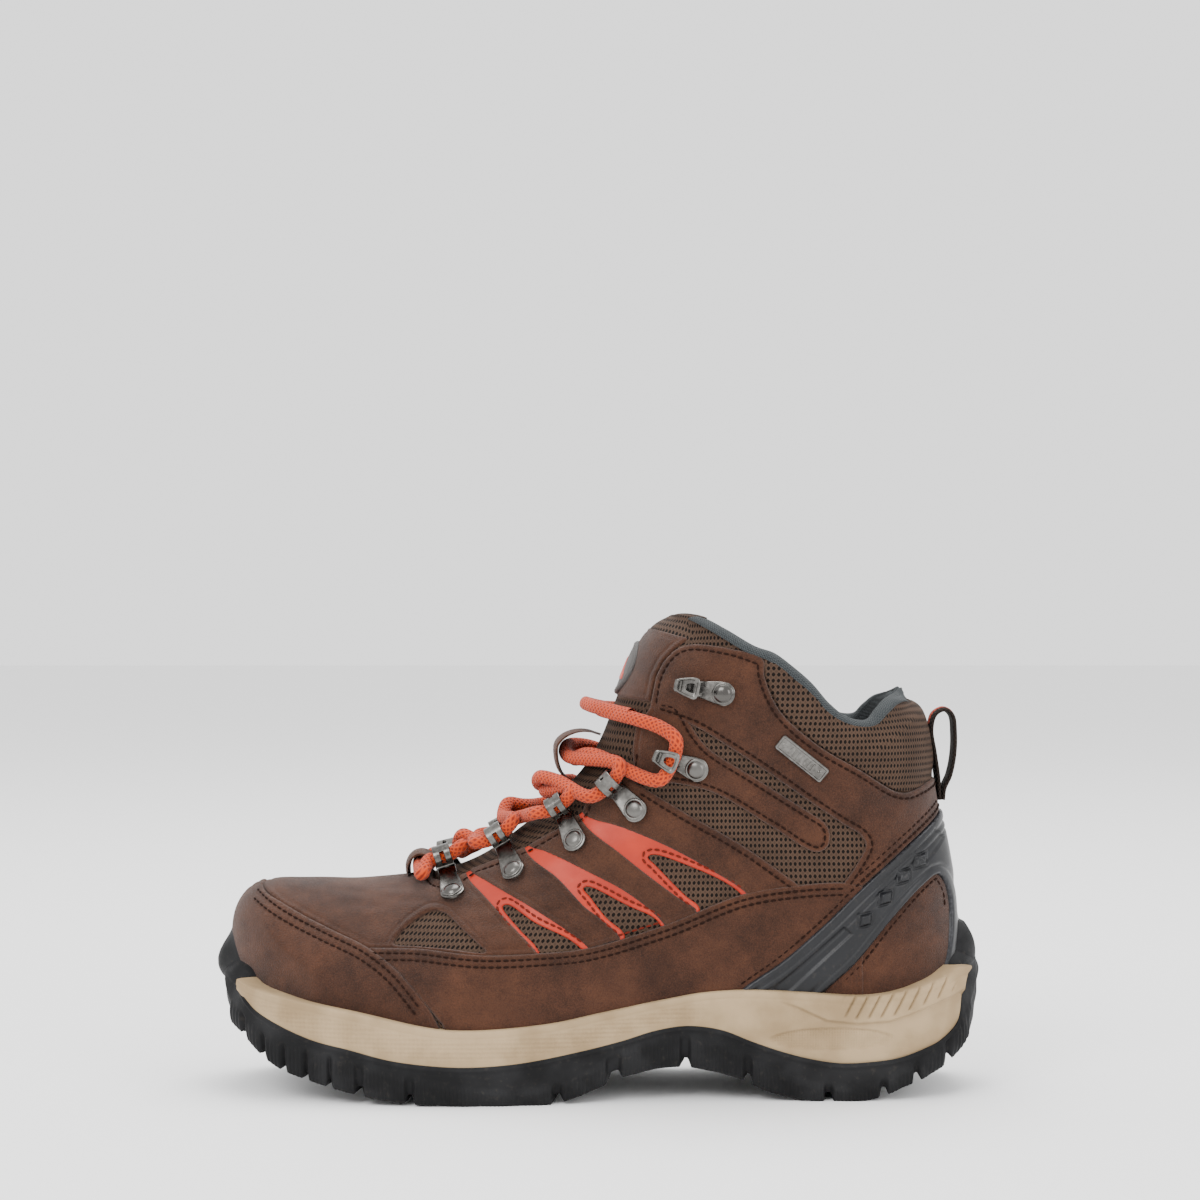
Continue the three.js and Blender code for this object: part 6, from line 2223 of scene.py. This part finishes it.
        edge[rows - 2:rows] = 0.4
        faces = grid_faces(len(grid), self.around, closed=True)
        obj = make_object("outsole_wall", grid.reshape(-1, 3), faces, RUBBER, uv, {"edge": edge.ravel()})
        settle(obj, RUBBER, "outsole")

    def tread(self) -> None:
        """Underside with its lugs, joined to the foot of the wall."""
        half = self.around // 2
        first = int(np.argmin(self.plan[:, 0]))
        order = np.roll(np.arange(self.around), -first)
        side_a, side_b = order[:half], order[::-1][:half]
        a, b = self.foot[side_a], self.foot[side_b]
        share = np.linspace(0, 1, 180)
        grid = a[:, None] * (1 - share[None, :, None]) + b[:, None] * share[None, :, None]
        x, s = grid[..., 0], np.abs(2 * share[None] - 1) + 0 * grid[..., 0]
        edge_lug = self.solid_share(x - 5 * (1 - s), EDGE_LUGS) * ease((s - 0.52) / 0.05 + 0.5)
        centre = self.solid_share(x + 7 * s, CENTRE_LUGS) * ease((0.40 - s) / 0.05 + 0.5)
        lug = np.maximum(edge_lug, centre)
        siping = 0.5 * np.exp(-((np.abs((x % 6) - 3) / 0.35) ** 2)) * centre
        z = self.bottom(x, lug) + siping
        keep_edge = ease((np.abs(2 * share[None] - 1) - 0.985) / 0.015)
        grid[..., 2] = z * (1 - keep_edge) + grid[..., 2] * keep_edge
        faces = grid_faces(half, len(share))
        uv = grid[..., :2].reshape(-1, 2)
        obj = make_object("outsole_tread", grid.reshape(-1, 3), faces, RUBBER, uv)
        settle(obj, RUBBER)

    @staticmethod
    def bumpers() -> None:
        """Rubber drawn up over the toe and over the heel."""
        z = LAST.places[..., 2]
        toe = area([(-170, 28), (-133.5, 31), (-146.2, 66), (-170, 66)])
        swell = 7.6 * ease((65 - z) / 18)
        lift = 0.9 + (0.9 + swell) * ease(toe / 5.5)
        Panel("toe_bumper", toe, lift, 2.5, RUBBER, rounding=0.9, uneven=False).build()
        heel = area([(136.5, 30), (170, 30), (170, 66), (139.6, 66)])
        swell = 6.2 * ease((74 - z) / 24)
        lift = 1.2 + (1.6 + swell) * ease(heel / 3.6)
        Panel("heel_strip", heel, lift, 3.0, RUBBER, rounding=1.0, uneven=False).build()


# ---------------------------------------------------------------- studio
@dataclass
class Studio:
    """Floor, lights and camera."""

    def build(self) -> None:
        """Makes the studio."""
        bpy.ops.mesh.primitive_plane_add(size=14, location=(0, 0, -0.0004))
        floor = bpy.context.object
        floor.name = "studio_floor"
        paper = bpy.data.materials.new("paper")
        paper.use_nodes = True
        surface = paper.node_tree.nodes["Principled BSDF"]
        surface.inputs["Base Color"].default_value = (0.9, 0.9, 0.9, 1)
        surface.inputs["Roughness"].default_value = 0.9
        surface.inputs["Specular IOR Level"].default_value = 0.1
        floor.data.materials.append(paper)
        world = bpy.data.worlds.new("studio")
        world.use_nodes = True
        world.node_tree.nodes["Background"].inputs[0].default_value = (1, 1, 1, 1)
        world.node_tree.nodes["Background"].inputs[1].default_value = 1.7
        bpy.context.scene.world = world
        self.light("key", (-0.9, -1.6, 1.5), (0, 0, 0.08), 30, 1.1)
        self.light("fill", (1.4, -1.4, 0.8), (0.05, 0, 0.08), 14, 1.0)
        self.light("top", (0.1, 0.5, 1.8), (0, 0, 0.08), 30, 1.2)
        camera = bpy.data.objects.new("camera", bpy.data.cameras.new("camera"))
        camera.data.sensor_width = 36
        camera.data.lens = 82.5
        camera.location = (0, -1.1, 0.1925)
        camera.rotation_euler = (math.radians(90), 0, 0)
        bpy.context.scene.collection.objects.link(camera)
        bpy.context.scene.camera = camera

    @staticmethod
    def light(name: str, place: Sequence[float], target: Sequence[float], power: float, size: float) -> None:
        """One square soft light aimed at a point.

        Args:
            name: Name of the light.
            place: Where it stands, in metres.
            target: Where it points, in metres.
            power: Power in watts.
            size: Side of the square in metres.
        """
        data = bpy.data.lights.new(name, "AREA")
        data.energy = power
        data.size = size
        lamp = bpy.data.objects.new(name, data)
        lamp.location = place
        aim = Vector(target) - Vector(place)
        lamp.rotation_euler = aim.to_track_quat("-Z", "Y").to_euler()
        bpy.context.scene.collection.objects.link(lamp)


def dress_hidden_nodes() -> None:
    """Gives the enclosed CAD pieces their own materials."""
    for node, finish in (("shank", STEEL), ("insole_board", BOARD)):
        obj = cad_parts[node]
        obj.data.materials.clear()
        obj.data.materials.append(PAINTS.get(finish))


def main() -> None:
    """Builds the boot, piece by piece, and its studio."""
    logging.basicConfig(level=logging.INFO, format="%(message)s")
    Studio().build()
    SoleUnit().build()
    Upper().build()
    Lining().build()
    Tongue().build()
    seats = Fittings().build()
    Lace(seats).build()
    PullLoop().build()
    dress_hidden_nodes()


if __name__ == "__main__":
    main()
